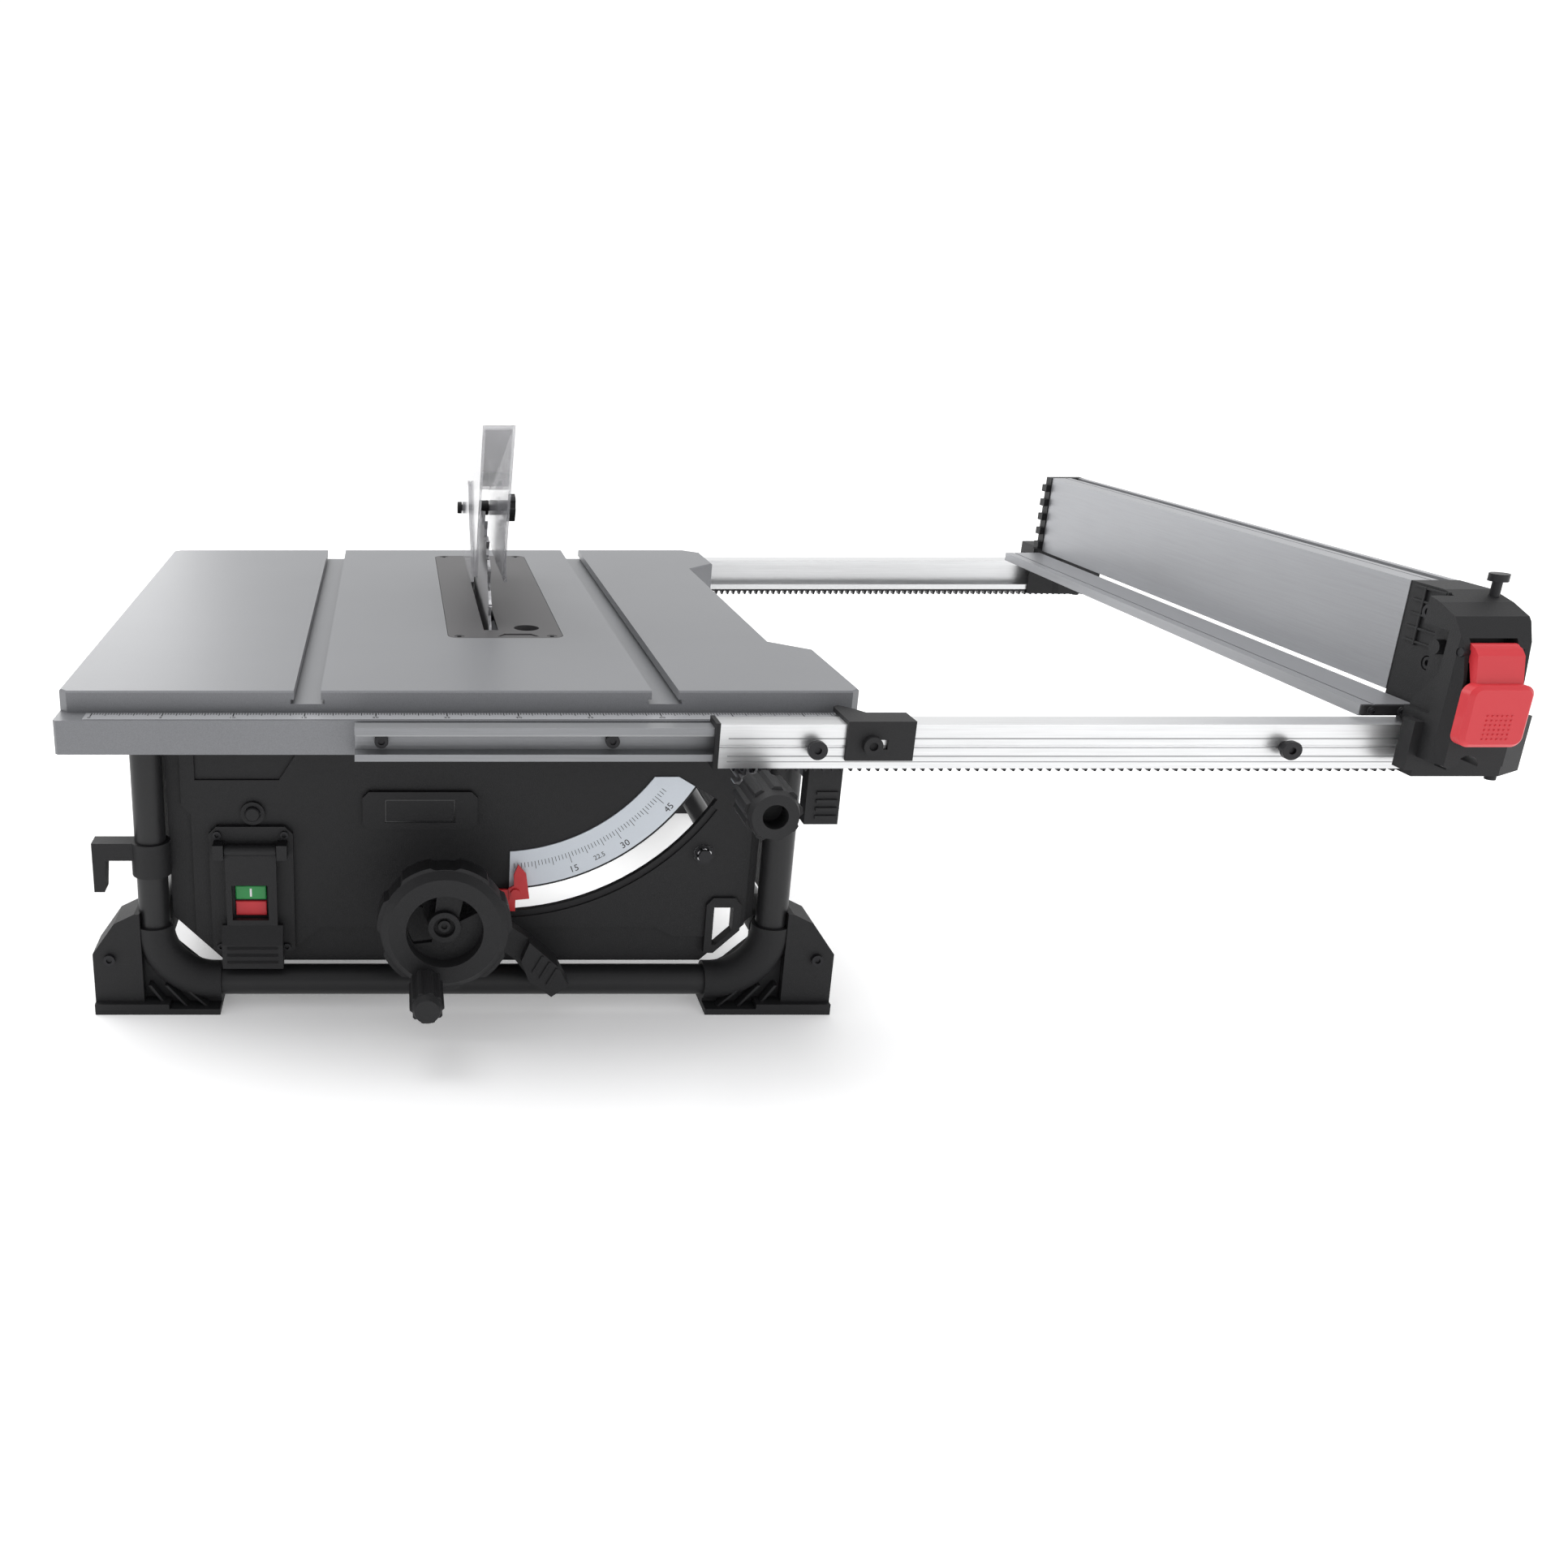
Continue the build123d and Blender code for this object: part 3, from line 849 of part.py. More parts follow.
def bevel_lock_lever():
    at = (WHEEL_X, WHEEL_Z)
    arm = [(at[0] + 4.0, at[1] + 12.0), (at[0] + 52.0, at[1] - 14.0), (at[0] + 66.0, at[1] - 24.0),
           (at[0] + 88.0, at[1] - 44.0), (at[0] + 97.0, at[1] - 60.0), (at[0] + 84.0, at[1] - 70.0),
           (at[0] + 66.0, at[1] - 56.0), (at[0] + 56.0, at[1] - 42.0), (at[0] + 30.0, at[1] - 22.0),
           (at[0] - 4.0, at[1] - 14.0)]
    lever = prism("Y", arm, LEVER_Y0, LEVER_Y1) + rod("Y", at, 15.0, LEVER_Y0, LEVER_Y1)
    tip = [(at[0] + 66.0, at[1] - 24.0), (at[0] + 88.0, at[1] - 44.0), (at[0] + 97.0, at[1] - 60.0),
           (at[0] + 84.0, at[1] - 70.0), (at[0] + 66.0, at[1] - 56.0), (at[0] + 60.0, at[1] - 40.0)]
    lever += prism("Y", tip, LEVER_Y0 - 8.0, LEVER_Y0 + 1.0)
    return lever - rod("Y", at, 6.0 + CLEAR, 0.0, 60.0)


# ---- lift carriage, motor and blade ---------------------------------------------------------
def gear_case():
    arbor, motor = (BLADE_Y, ARBOR_Z), (MOTOR_Y, MOTOR_Z)
    case = rod("X", arbor, 26.0, CASE_LEFT, CASE_RIGHT) + rod("X", motor, 17.0, CASE_LEFT, CASE_LEFT + 26.0)
    for y0, y1, rod_y in ((SCREW_Y - 10.0, BLADE_Y - 20.0, ROD_FRONT_Y), (BLADE_Y + 18.0, ROD_REAR_Y + 12.0, ROD_REAR_Y)):
        case += block(-57.0, -38.0, y0, y1, -66.0, -40.0)
    case += block(-14.0, -3.0, BLADE_Y + 16.0, KNIFE_REAR, -92.0, -60.0)
    case += block(-14.0, -KNIFE_THICK / 2, KNIFE_REAR - 30.0, KNIFE_REAR, -92.0, -60.0)
    case -= rod("X", arbor, 21.0, CASE_LEFT + 5.0, CASE_LEFT + 5.0 + GEAR_FACE + 4.0)
    case -= rod("X", motor, 7.5, CASE_LEFT + 5.0, CASE_LEFT + 5.0 + GEAR_FACE + 4.0)
    case -= rod("X", arbor, ARBOR_R + RUNNING, CASE_LEFT - 1.0, CASE_RIGHT + 1.0)
    case -= rod("X", motor, 3.0 + RUNNING, CASE_LEFT - 1.0, CASE_LEFT + 6.0)
    for y in (ROD_FRONT_Y, ROD_REAR_Y):
        case -= rod("Z", (ROD_X, y), ROD_R + RUNNING, -70.0, -38.0)
    case -= rod("Z", (WHEEL_X, SCREW_Y), 5.0 + RUNNING, -70.0, -38.0)
    return max(case.solids(), key=lambda s: s.volume)


def motor_housing():
    at = (MOTOR_Y, MOTOR_Z)
    end = CASE_LEFT - MOTOR_LENGTH
    shell = rod("X", at, MOTOR_R, end, CASE_LEFT)
    shell = fillet(shell.faces().sort_by(Axis.X)[0].edges(), 5.0)
    shell -= rod("X", at, MOTOR_R - 3.0, end + 8.0, CASE_LEFT - 3.0)
    shell -= rod("X", at, 3.0 + RUNNING, end + 2.0, CASE_LEFT + 1.0)
    for k in range(8):
        angle = 45.0 * k
        slot = Pos(end + 26.0, at[0], at[1]) * Rot(angle, 0, 0) * Pos(0, MOTOR_R - 2.0, 0) * Box(24.0, 12.0, 6.0)
        shell -= slot
    return shell


def motor_rotor():
    at = (MOTOR_Y, MOTOR_Z)
    end = CASE_LEFT - MOTOR_LENGTH
    shaft = rod("X", at, 3.0, end + 4.0, CASE_LEFT + 7.0 + GEAR_FACE)
    armature = rod("X", at, 20.0, end + 34.0, CASE_LEFT - 34.0)
    commutator = rod("X", at, 11.0, end + 14.0, end + 28.0)
    fan = rod("X", at, 12.0, CASE_LEFT - 18.0, CASE_LEFT - 8.0)
    for k in range(9):
        blade = Pos(CASE_LEFT - 13.0, at[0], at[1]) * Rot(40.0 * k, 0, 0) * Pos(0, 18.0, 0) * Box(10.0, 22.0, 1.6)
        fan += blade
    phase = 180.0 - MOTOR_ANGLE + 180.0 / PINION_TEETH
    pinion = gear("X", at, PINION_TEETH, GEAR_MODULE, CASE_LEFT + 7.0, CASE_LEFT + 7.0 + GEAR_FACE, 0.62, phase)
    return shaft + armature + commutator + fan + pinion


def arbor_shaft():
    at = (BLADE_Y, ARBOR_Z)
    half = BLADE_THICK / 2
    shaft = rod("X", at, ARBOR_R, CASE_LEFT + 0.6, half + 18.0)
    wheel = gear("X", at, GEAR_TEETH, GEAR_MODULE, CASE_LEFT + 7.0, CASE_LEFT + 7.0 + GEAR_FACE, 0.62, -MOTOR_ANGLE)
    flange = rod("X", at, 20.0, -half - 5.0, -half)
    washer = ring("X", at, 20.0, ARBOR_R, half, half + 4.0)
    corners = [(at[0] + 13.5 * cos(radians(60 * k)), at[1] + 13.5 * sin(radians(60 * k))) for k in range(6)]
    nut = prism("X", corners, half + 4.0, half + 14.0) - rod("X", at, ARBOR_R, half, half + 20.0)
    return [shaft + wheel + flange, washer, nut]


def saw_blade():
    at = (BLADE_Y, ARBOR_Z)
    points = []
    for k in range(BLADE_TEETH):
        base = 2 * pi * k / BLADE_TEETH
        for radius, turn in ((BLADE_R, 0.0), (BLADE_R - 3.5, 0.22), (BLADE_R - 6.0, 0.52), (BLADE_R - 11.0, 0.72),
                             (BLADE_R - 11.5, 0.88), (BLADE_R - 7.0, 0.975)):
            angle = base + turn * 2 * pi / BLADE_TEETH
            points.append((at[0] - radius * cos(angle), at[1] + radius * sin(angle)))
    blade = prism("X", points, -BLADE_THICK / 2, BLADE_THICK / 2)
    for k in range(4):
        slit = Pos(0, at[0], at[1]) * Rot(90.0 * k + 20.0, 0, 0) * Pos(0, BLADE_R - 20.0, 0) * Box(4.0, 26.0, 1.4)
        blade -= slit
    return blade - rod("X", at, ARBOR_R, -5.0, 5.0)


def riving_knife():
    cy, cz = BLADE_Y, ARBOR_Z

    def arc(radius, first, last, steps):
        return [(cy + radius * cos(radians(first + (last - first) * k / steps)),
                 cz + radius * sin(radians(first + (last - first) * k / steps))) for k in range(steps + 1)]
    points = arc(KNIFE_INNER, -17.0, 53.0, 18) + arc(KNIFE_OUTER, 50.0, -17.0, 18)
    knife = prism("X", points, -KNIFE_THICK / 2, KNIFE_THICK / 2)
    knife += rod("X", GUARD_BOLT, 9.0, -KNIFE_THICK / 2, KNIFE_THICK / 2)
    return knife - rod("X", GUARD_BOLT, 3.0 + RUNNING, -5.0, 5.0)


# ---- guard --------------------------------------------------------------------------------
def guard_cover():
    outline = [(151.0, 169.0), (217.0, 40.0), (222.0, 38.0), (300.0, 37.0), (400.0, 42.0), (430.0, 50.0), (446.0, 62.0),
               (446.0, 76.0), (312.0, 118.0), (166.0, 168.0)]
    cover = prism("X", outline, -GUARD_HALF, GUARD_HALF)
    inner = [(100.0, 164.0), (100.0, 0.0), (480.0, 0.0), (480.0, 130.0), (398.0, 130.0), (398.0, 87.8),
             (312.0, 114.8), (163.0, 165.4)]
    cover -= prism("X", inner, -GUARD_HALF + GUARD_WALL, GUARD_HALF - GUARD_WALL)
    cover -= rod("X", GUARD_BOLT, 3.0 + RUNNING, -20.0, 20.0)
    return cover


def guard_wing(side):
    near, far = sorted((side * (GUARD_HALF + CLEAR), side * (GUARD_HALF + CLEAR + 2.0)))
    outline = [(226.0, 33.5), (232.0, 32.0), (400.0, 31.0), (440.0, 43.0), (452.0, 48.0), (458.0, 60.0), (456.0, 68.0),
               (322.0, 105.0), (312.0, 107.0), (302.0, 103.0), (280.0, 76.0), (240.0, 52.0)]
    wing = prism("X", outline, near, far)
    return wing - rod("X", GUARD_BOLT, 3.0 + RUNNING, -20.0, 20.0)


def guard_knob():
    outer = GUARD_HALF + CLEAR + 2.0 + CLEAR
    bolt = rod("X", GUARD_BOLT, 3.0, -outer, outer + 6.0) + rod("X", GUARD_BOLT, 5.5, -outer - 4.0, -outer)
    points = []
    for k in range(48):
        angle = 2 * pi * k / 48
        radius = 13.0 if k % 8 < 4 else 11.6
        points.append((GUARD_BOLT[0] + radius * cos(angle), GUARD_BOLT[1] + radius * sin(angle)))
    knob = prism("X", points, outer, outer + 20.0)
    bushes = [ring("X", GUARD_BOLT, 7.0, 3.0, s * (KNIFE_THICK / 2) if s > 0 else -GUARD_HALF + GUARD_WALL + CLEAR,
                   GUARD_HALF - GUARD_WALL - CLEAR if s > 0 else -KNIFE_THICK / 2) for s in (-1, 1)]
    return [bolt + knob] + bushes


# ---- sizes that tie neighbouring pieces together --------------------------------------------
RAIL_MID = (RAIL_TOP + RAIL_BOTTOM) / 2
RAIL_BOLT_X = (-89.6, 70.2)
PIN_Z = RAIL_MID
FIXED_NECK = RAIL_BACK - 2.0 - CLEAR - 0.2
FIXED_WEB = FIXED_NECK - 1.0
LOCK_X, LOCK_Z = 223.5, -56.5
LOCK_Y0, LOCK_Y1 = -18.0, -4.0
RESET_AT = (-188.5, -110.0)
SWITCH_X0, SWITCH_X1, SWITCH_Z0, SWITCH_Z1 = -222.6, -158.1, -228.3, -119.9
BUTTON_X0, BUTTON_X1 = -203.5, -179.5
START_Z0, START_Z1, STOP_Z0, STOP_Z1 = -179.5, -168.0, -193.0, -181.0
PADDLE_Y, PADDLE_Z = PANEL_Y - 11.0, SWITCH_Z1 - 17.0
DUST_AT, DUST_R = (-30.0, -150.0), 31.5
GLAND_AT = (-200.0, -66.0)
TRUNNION_R = 60.0
PIN_ANGLES = (-50.0, -5.0)
TRUNNION_FRONT_Y = 78.0
CARRIAGE_FRONT, CARRIAGE_REAR = 90.0, 498.0
WINDOW_FRONT, WINDOW_REAR = 262.0, 396.0
ROD_X, ROD_FRONT_Y, ROD_REAR_Y = -48.0, 246.0, 410.0
SCREW_Y = 222.0
POINTER_Y, POINTER_ANGLE = 43.5, 5.6
CRANK_FRONT = -70.0
LEVER_Y0, LEVER_Y1 = 22.0, 34.0
CASE_LEFT, CASE_RIGHT = -58.0, -10.0
KNIFE_REAR = 480.0
HINGE_X, HINGE_Z = FENCE_X - 3.4 - CLEAR, -3.4
FLANK_SCREWS = (((-30.0, 28.0), 4.2, 3.6), ((-24.0, 62.0), 5.0, 0.0))
THUMB_AT = (FENCE_X + 27.0, -40.0)
FENCE_LEDGE_FRONT = -33.6
LATCH_X0, LATCH_X1, LATCH_Y, LATCH_Z = 608.0, 638.0, -77.0, 47.0

os.makedirs("parts", exist_ok=True)
write("table_top", table_top())
write("throat_plate", throat_plate())
write("cover_screws", cover_screws())
write("front_panel", front_panel())
write("left_side_cover", side_cover(LEG_LEFT, HOOP_FRONT_Y + TUBE_R + 4.0, HOOP_REAR_Y - TUBE_R))
write("right_side_cover", side_cover(LEG_RIGHT, HOOP_FRONT_Y + TUBE_R, HOOP_REAR_Y - TUBE_R))
write("rear_cover", rear_cover())
write("front_frame_hoop", frame_hoop(HOOP_FRONT_Y))
write("rear_frame_hoop", frame_hoop(HOOP_REAR_Y))
write("side_tubes", side_tubes())
write("front_left_foot", foot(-1, HOOP_FRONT_Y, 1))
write("front_right_foot", foot(1, HOOP_FRONT_Y, 1))
write("rear_left_foot", foot(-1, HOOP_REAR_Y, -1))
write("rear_right_foot", foot(1, HOOP_REAR_Y, -1))
write("front_fixed_rail", fixed_rail())
write("rear_fixed_rail", rear(fixed_rail()))
write("rail_bolts", rail_bolts())
write("switch_plate", switch_plate())
write("badge_plate", badge_plate())
write("bevel_scale", bevel_scale())
write("side_hook", side_hook())
write("trunnion_brackets", [trunnion(TRUNNION_FRONT_Y, -TABLE_PLATE), trunnion(CARRIAGE_REAR + 4.0, -14.0)])
write("dust_port", dust_port())
write("cord_gland", cord_gland())
write("start_button", switch_button(START_Z0, START_Z1))
write("stop_button", switch_button(STOP_Z0, STOP_Z1))
write("stop_paddle", stop_paddle())
write("reset_button", reset_button())
write("front_moving_rail", moving_rail())
write("rear_moving_rail", rear(moving_rail()))
write("rail_racks", [rack(), rear(rack())])
write("rail_end_caps", rail_end_caps())
write("fence_pins", fence_pins())
write("rail_pointer", rail_pointer())
write("pinion_shaft", pinion_shaft())
write("rail_knob", rail_knob())
write("rail_lock_lever", rail_lock_lever())
write("fence_beam", fence_beam())
write("fence_head", fence_head())
write("fence_rear_cap", fence_rear_cap())
write("fence_ledge", fence_ledge())
write("fence_screws", fence_screws())
write("fence_latch_lever", fence_latch_lever())
write("tilt_carriage", tilt_carriage())
write("lift_rods", lift_rods())
write("lift_screw", lift_screw())
write("bevel_pointer", bevel_pointer())
write("handwheel", handwheel())
write("crank_knob", crank_knob())
write("bevel_lock_lever", bevel_lock_lever())
write("gear_case", gear_case())
write("motor_housing", motor_housing())
write("motor_rotor", motor_rotor())
write("arbor_shaft", arbor_shaft())
write("saw_blade", saw_blade())
write("riving_knife", riving_knife())
write("guard_cover", guard_cover())
write("guard_left_wing", guard_wing(-1))
write("guard_right_wing", guard_wing(1))
write("guard_knob", guard_knob())
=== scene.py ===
import json
import logging
import math
from dataclasses import dataclass, field
from enum import Enum
from typing import Any, Dict, List, Optional, Sequence, Tuple, Union

import bpy
from mathutils import Matrix, Vector


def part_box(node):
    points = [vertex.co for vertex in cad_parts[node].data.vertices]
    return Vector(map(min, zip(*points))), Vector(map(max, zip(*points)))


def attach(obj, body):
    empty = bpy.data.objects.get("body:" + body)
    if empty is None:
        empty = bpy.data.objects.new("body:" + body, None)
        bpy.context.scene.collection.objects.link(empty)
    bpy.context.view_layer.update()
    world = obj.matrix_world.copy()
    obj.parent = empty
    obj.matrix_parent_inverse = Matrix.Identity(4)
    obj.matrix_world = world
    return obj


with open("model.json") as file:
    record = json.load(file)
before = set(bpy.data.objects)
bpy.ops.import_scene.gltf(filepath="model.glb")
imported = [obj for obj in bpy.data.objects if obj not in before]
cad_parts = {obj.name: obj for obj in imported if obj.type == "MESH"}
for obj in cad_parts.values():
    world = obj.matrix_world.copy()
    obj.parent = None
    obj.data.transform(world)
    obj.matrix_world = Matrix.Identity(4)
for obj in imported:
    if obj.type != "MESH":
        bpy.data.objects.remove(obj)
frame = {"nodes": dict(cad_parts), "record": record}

logging.basicConfig(level=logging.INFO, format="%(message)s")
log = logging.getLogger("table_saw")

MM = 0.001
THROAT_SETBACK = 162.0  # from the table's front edge to the throat plate, in millimetres
FACES_FRONT = -0.9  # a face whose normal has a lower Y than this looks to the front
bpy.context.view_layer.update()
TABLE_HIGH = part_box("table_top")[1]
BLADE_LOW, BLADE_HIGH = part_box("saw_blade")
THROAT_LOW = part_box("throat_plate")[0]
# The saw's own corner: blade plane, the table's front edge, table surface.
CORNER = Vector(((BLADE_LOW.x + BLADE_HIGH.x) / 2, THROAT_LOW.y - THROAT_SETBACK * MM, TABLE_HIGH.z))

Number = Union[float, int]


def at(x: Number, y: Number, z: Number) -> Vector:
    """Turn millimetres from the saw's corner into the frame's metres.

    Args:
        x: across the blade, to the right.
        y: behind the table's front edge.
        z: above the table.

    Returns:
        The point in the frame.
    """
    return CORNER + Vector((x, y, z)) * MM


# ---- shader maths ---------------------------------------------------------------------------
class Wire:
    """A shader socket that takes part in Python expressions."""

    def __init__(self, tree: bpy.types.NodeTree, socket: bpy.types.NodeSocket) -> None:
        """Keep the tree and one of its output sockets."""
        self.tree = tree
        self.socket = socket

    @staticmethod
    def make(tree: bpy.types.NodeTree, kind: str, out: Union[int, str] = 0,
             settings: Optional[Dict[str, Any]] = None, **inputs: Any) -> "Wire":
        """Add any node, set it, feed it and return one output.

        Args:
            tree: the material's tree.
            kind: the node's type.
            out: the output's index or name.
            settings: properties of the node, set before its sockets.
            inputs: socket values or wires; "Noise_Scale" names "Noise Scale", and "i0" an index.

        Returns:
            The chosen output as a wire.
        """
        node = tree.nodes.new(kind)
        for name, value in (settings or {}).items():
            setattr(node, name, value)
        for name, value in inputs.items():
            key = int(name[1:]) if name[0] == "i" and name[1:].isdigit() else name.replace("_", " ")
            socket = node.inputs[key]
            if isinstance(value, Wire):
                tree.links.new(value.socket, socket)
            else:
                socket.default_value = value
        return Wire(tree, node.outputs[out])

    def _math(self, operation: str, first: Any, second: Any) -> "Wire":
        """Add a Math node for two values or wires."""
        return Wire.make(self.tree, "ShaderNodeMath", settings={"operation": operation}, i0=first, i1=second)

    def __add__(self, other: Any) -> "Wire":
        """Sum."""
        return self._math("ADD", self, other)

    __radd__ = __add__

    def __sub__(self, other: Any) -> "Wire":
        """Difference."""
        return self._math("SUBTRACT", self, other)

    def __rsub__(self, other: Any) -> "Wire":
        """Difference the other way round."""
        return self._math("SUBTRACT", other, self)

    def __mul__(self, other: Any) -> "Wire":
        """Product."""
        return self._math("MULTIPLY", self, other)

    __rmul__ = __mul__

    def mix(self, low: Sequence[float], high: Sequence[float]) -> "Wire":
        """Blend two colours by this wire.

        Args:
            low: colour at zero.
            high: colour at one.

        Returns:
            The blended colour.
        """
        return Wire.make(self.tree, "ShaderNodeMix", out=2, settings={"data_type": "RGBA"}, i0=self,
                         i6=(*low[:3], 1.0), i7=(*high[:3], 1.0))


class Grain(Enum):
    """What a finish does at close range."""

    EVEN = "even"
    SPECKLED = "speckled"
    BRUSHED = "brushed"
    MOULDED = "moulded"


@dataclass(frozen=True)
class Finish:
    """One material of the saw."""

    name: str
    colour: Tuple[float, float, float]
    metallic: float = 0.0
    roughness: float = 0.5
    grain: Grain = Grain.EVEN
    spread: float = 0.10
    scale: float = 900.0
    stretch: Tuple[float, float, float] = (1.0, 1.0, 1.0)
    bump: float = 0.0
    coat: float = 0.0
    see_through: float = 0.0
    specular: float = 0.5

    def build(self) -> bpy.types.Material:
        """Make the material.

        Returns:
            A material whose grain is worked out from Object coordinates.
        """
        material = bpy.data.materials.new(self.name)
        material.use_nodes = True
        tree = material.node_tree
        shader = tree.nodes["Principled BSDF"]
        place = Wire.make(tree, "ShaderNodeTexCoord", out="Object")
        spot = Wire.make(tree, "ShaderNodeMapping", Vector=place, Scale=self.stretch)
        fine = Wire.make(tree, "ShaderNodeTexNoise", Vector=spot, Scale=self.scale, Detail=2.0, Roughness=0.6)
        broad = Wire.make(tree, "ShaderNodeTexNoise", Vector=place, Scale=9.0, Detail=3.0)
        dark = tuple(c * (1.0 - self.spread) for c in self.colour)
        light = tuple(min(1.0, c * (1.0 + self.spread)) for c in self.colour)
        if self.grain is Grain.SPECKLED:
            share = (fine - 0.5) * 2.2 + (broad - 0.5) * 0.5 + 0.5
        elif self.grain is Grain.EVEN:
            share = (broad - 0.5) * 0.9 + 0.5
        else:
            share = (fine - 0.5) * 1.8 + (broad - 0.5) * 0.6 + 0.5
        colour = share.mix(dark, light)
        tree.links.new(colour.socket, shader.inputs["Base Color"])
        rough = self.roughness + (fine - 0.5) * (0.25 * self.roughness)
        tree.links.new(rough.socket, shader.inputs["Roughness"])
        if self.bump > 0:
            relief = Wire.make(tree, "ShaderNodeBump", Strength=self.bump, Distance=0.0004, Height=fine)
            tree.links.new(relief.socket, shader.inputs["Normal"])
        shader.inputs["Metallic"].default_value = self.metallic
        shader.inputs["Coat Weight"].default_value = self.coat
        shader.inputs["Specular IOR Level"].default_value = self.specular
        if self.see_through > 0:
            edge = Wire.make(tree, "ShaderNodeLayerWeight", out="Facing", Blend=0.55)
            solid = edge * (0.75 * self.see_through) + (1.0 - self.see_through)
            tree.links.new(solid.socket, shader.inputs["Alpha"])
        return material


FINISHES: Dict[str, Finish] = {
    "table_metal": Finish("cast_table", (0.190, 0.194, 0.204), 0.25, 0.42, Grain.SPECKLED, 0.10, 1500.0, bump=0.12,
                          specular=0.35),
    "throat_metal": Finish("throat_grey", (0.070, 0.068, 0.070), 0.2, 0.48, Grain.SPECKLED, 0.10, 1200.0, bump=0.05,
                           specular=0.3),
    "black_plastic": Finish("moulded_black", (0.0145, 0.0145, 0.0155), 0.0, 0.58, Grain.MOULDED, 0.16, 1300.0,
                            bump=0.30, specular=0.28),
    "black_tube": Finish("powder_black", (0.0125, 0.0125, 0.0135), 0.0, 0.42, Grain.MOULDED, 0.1, 900.0, bump=0.06,
                         specular=0.35),
    "rail_metal": Finish("bright_extrusion", (0.66, 0.665, 0.67), 0.80, 0.34, Grain.BRUSHED, 0.08, 900.0,
                         (0.02, 1.0, 1.0), 0.04),
    "fence_metal": Finish("brushed_extrusion", (0.33, 0.335, 0.35), 0.55, 0.42, Grain.BRUSHED, 0.06, 900.0,
                          (1.0, 0.02, 1.0), 0.04),
    "steel": Finish("plated_steel", (0.50, 0.50, 0.51), 0.95, 0.30, Grain.BRUSHED, 0.06, 500.0),
    "dark_steel": Finish("blackened_steel", (0.016, 0.016, 0.018), 0.4, 0.42, Grain.EVEN, specular=0.4),
    "blade_steel": Finish("ground_steel", (0.36, 0.36, 0.37), 0.95, 0.33, Grain.BRUSHED, 0.08, 700.0,
                          (1.0, 1.0, 0.05), 0.05),
    "red_plastic": Finish("lever_red", (0.56, 0.030, 0.040), 0.0, 0.45, Grain.EVEN, 0.04, coat=0.1, specular=0.35),
    "green_plastic": Finish("button_green", (0.004, 0.24, 0.045), 0.0, 0.35, Grain.EVEN, 0.04, coat=0.1),
    "clear_plastic": Finish("clear_guard", (0.42, 0.42, 0.44), 0.0, 0.10, Grain.EVEN, 0.02, see_through=0.90),
    "dial_plate": Finish("dial_silver", (0.60, 0.64, 0.69), 0.15, 0.45, Grain.BRUSHED, 0.02, 900.0),
    "pointer_red": Finish("pointer_red", (0.56, 0.012, 0.018), 0.0, 0.40, Grain.EVEN, 0.04),
}
PRINT_BLACK = Finish("print_black", (0.012, 0.012, 0.013), 0.0, 0.55)
PRINT_WHITE = Finish("print_white", (0.80, 0.80, 0.80), 0.0, 0.50)
RULE_PAPER = Finish("rule_silver", (0.34, 0.345, 0.36), 0.2, 0.45, Grain.BRUSHED, 0.03, 900.0)
CARBIDE = Finish("carbide", (0.20, 0.20, 0.21), 0.8, 0.35)
BADGE_BLACK = Finish("badge_black", (0.006, 0.006, 0.007), 0.0, 0.25, Grain.EVEN, 0.03)
# Flat dark strips on the rail faces: painted shade standing in for the shade in the extrusions' grooves.
RAIL_GROOVE_PAINTED_SHADE = Finish("rail_groove_painted_shade", (0.30, 0.305, 0.31), 0.6, 0.40, Grain.BRUSHED, 0.08, 900.0,
                    (0.02, 1.0, 1.0), 0.04)
# Darker copy of the rail extrusion for the fixed rails: painted shade for the table's shadow on them; the metal is
# the same as the other rails.
FIXED_RAIL_PAINTED_SHADE = Finish("painted_shade_extrusion", (0.24, 0.245, 0.255), 0.55, 0.42, Grain.BRUSHED, 0.08, 900.0,
                    (0.02, 1.0, 1.0), 0.04)
FLOOR_PAINT = Finish("studio_floor", (0.95, 0.95, 0.95), 0.0, 0.8, spread=0.0, specular=0.0)


class Paint:
    """Builds each finish once."""

    made: Dict[str, bpy.types.Material] = {}

    @classmethod
    def get(cls, finish: Finish) -> bpy.types.Material:
        """Return the material of a finish."""
        if finish.name not in cls.made:
            cls.made[finish.name] = finish.build()
        return cls.made[finish.name]


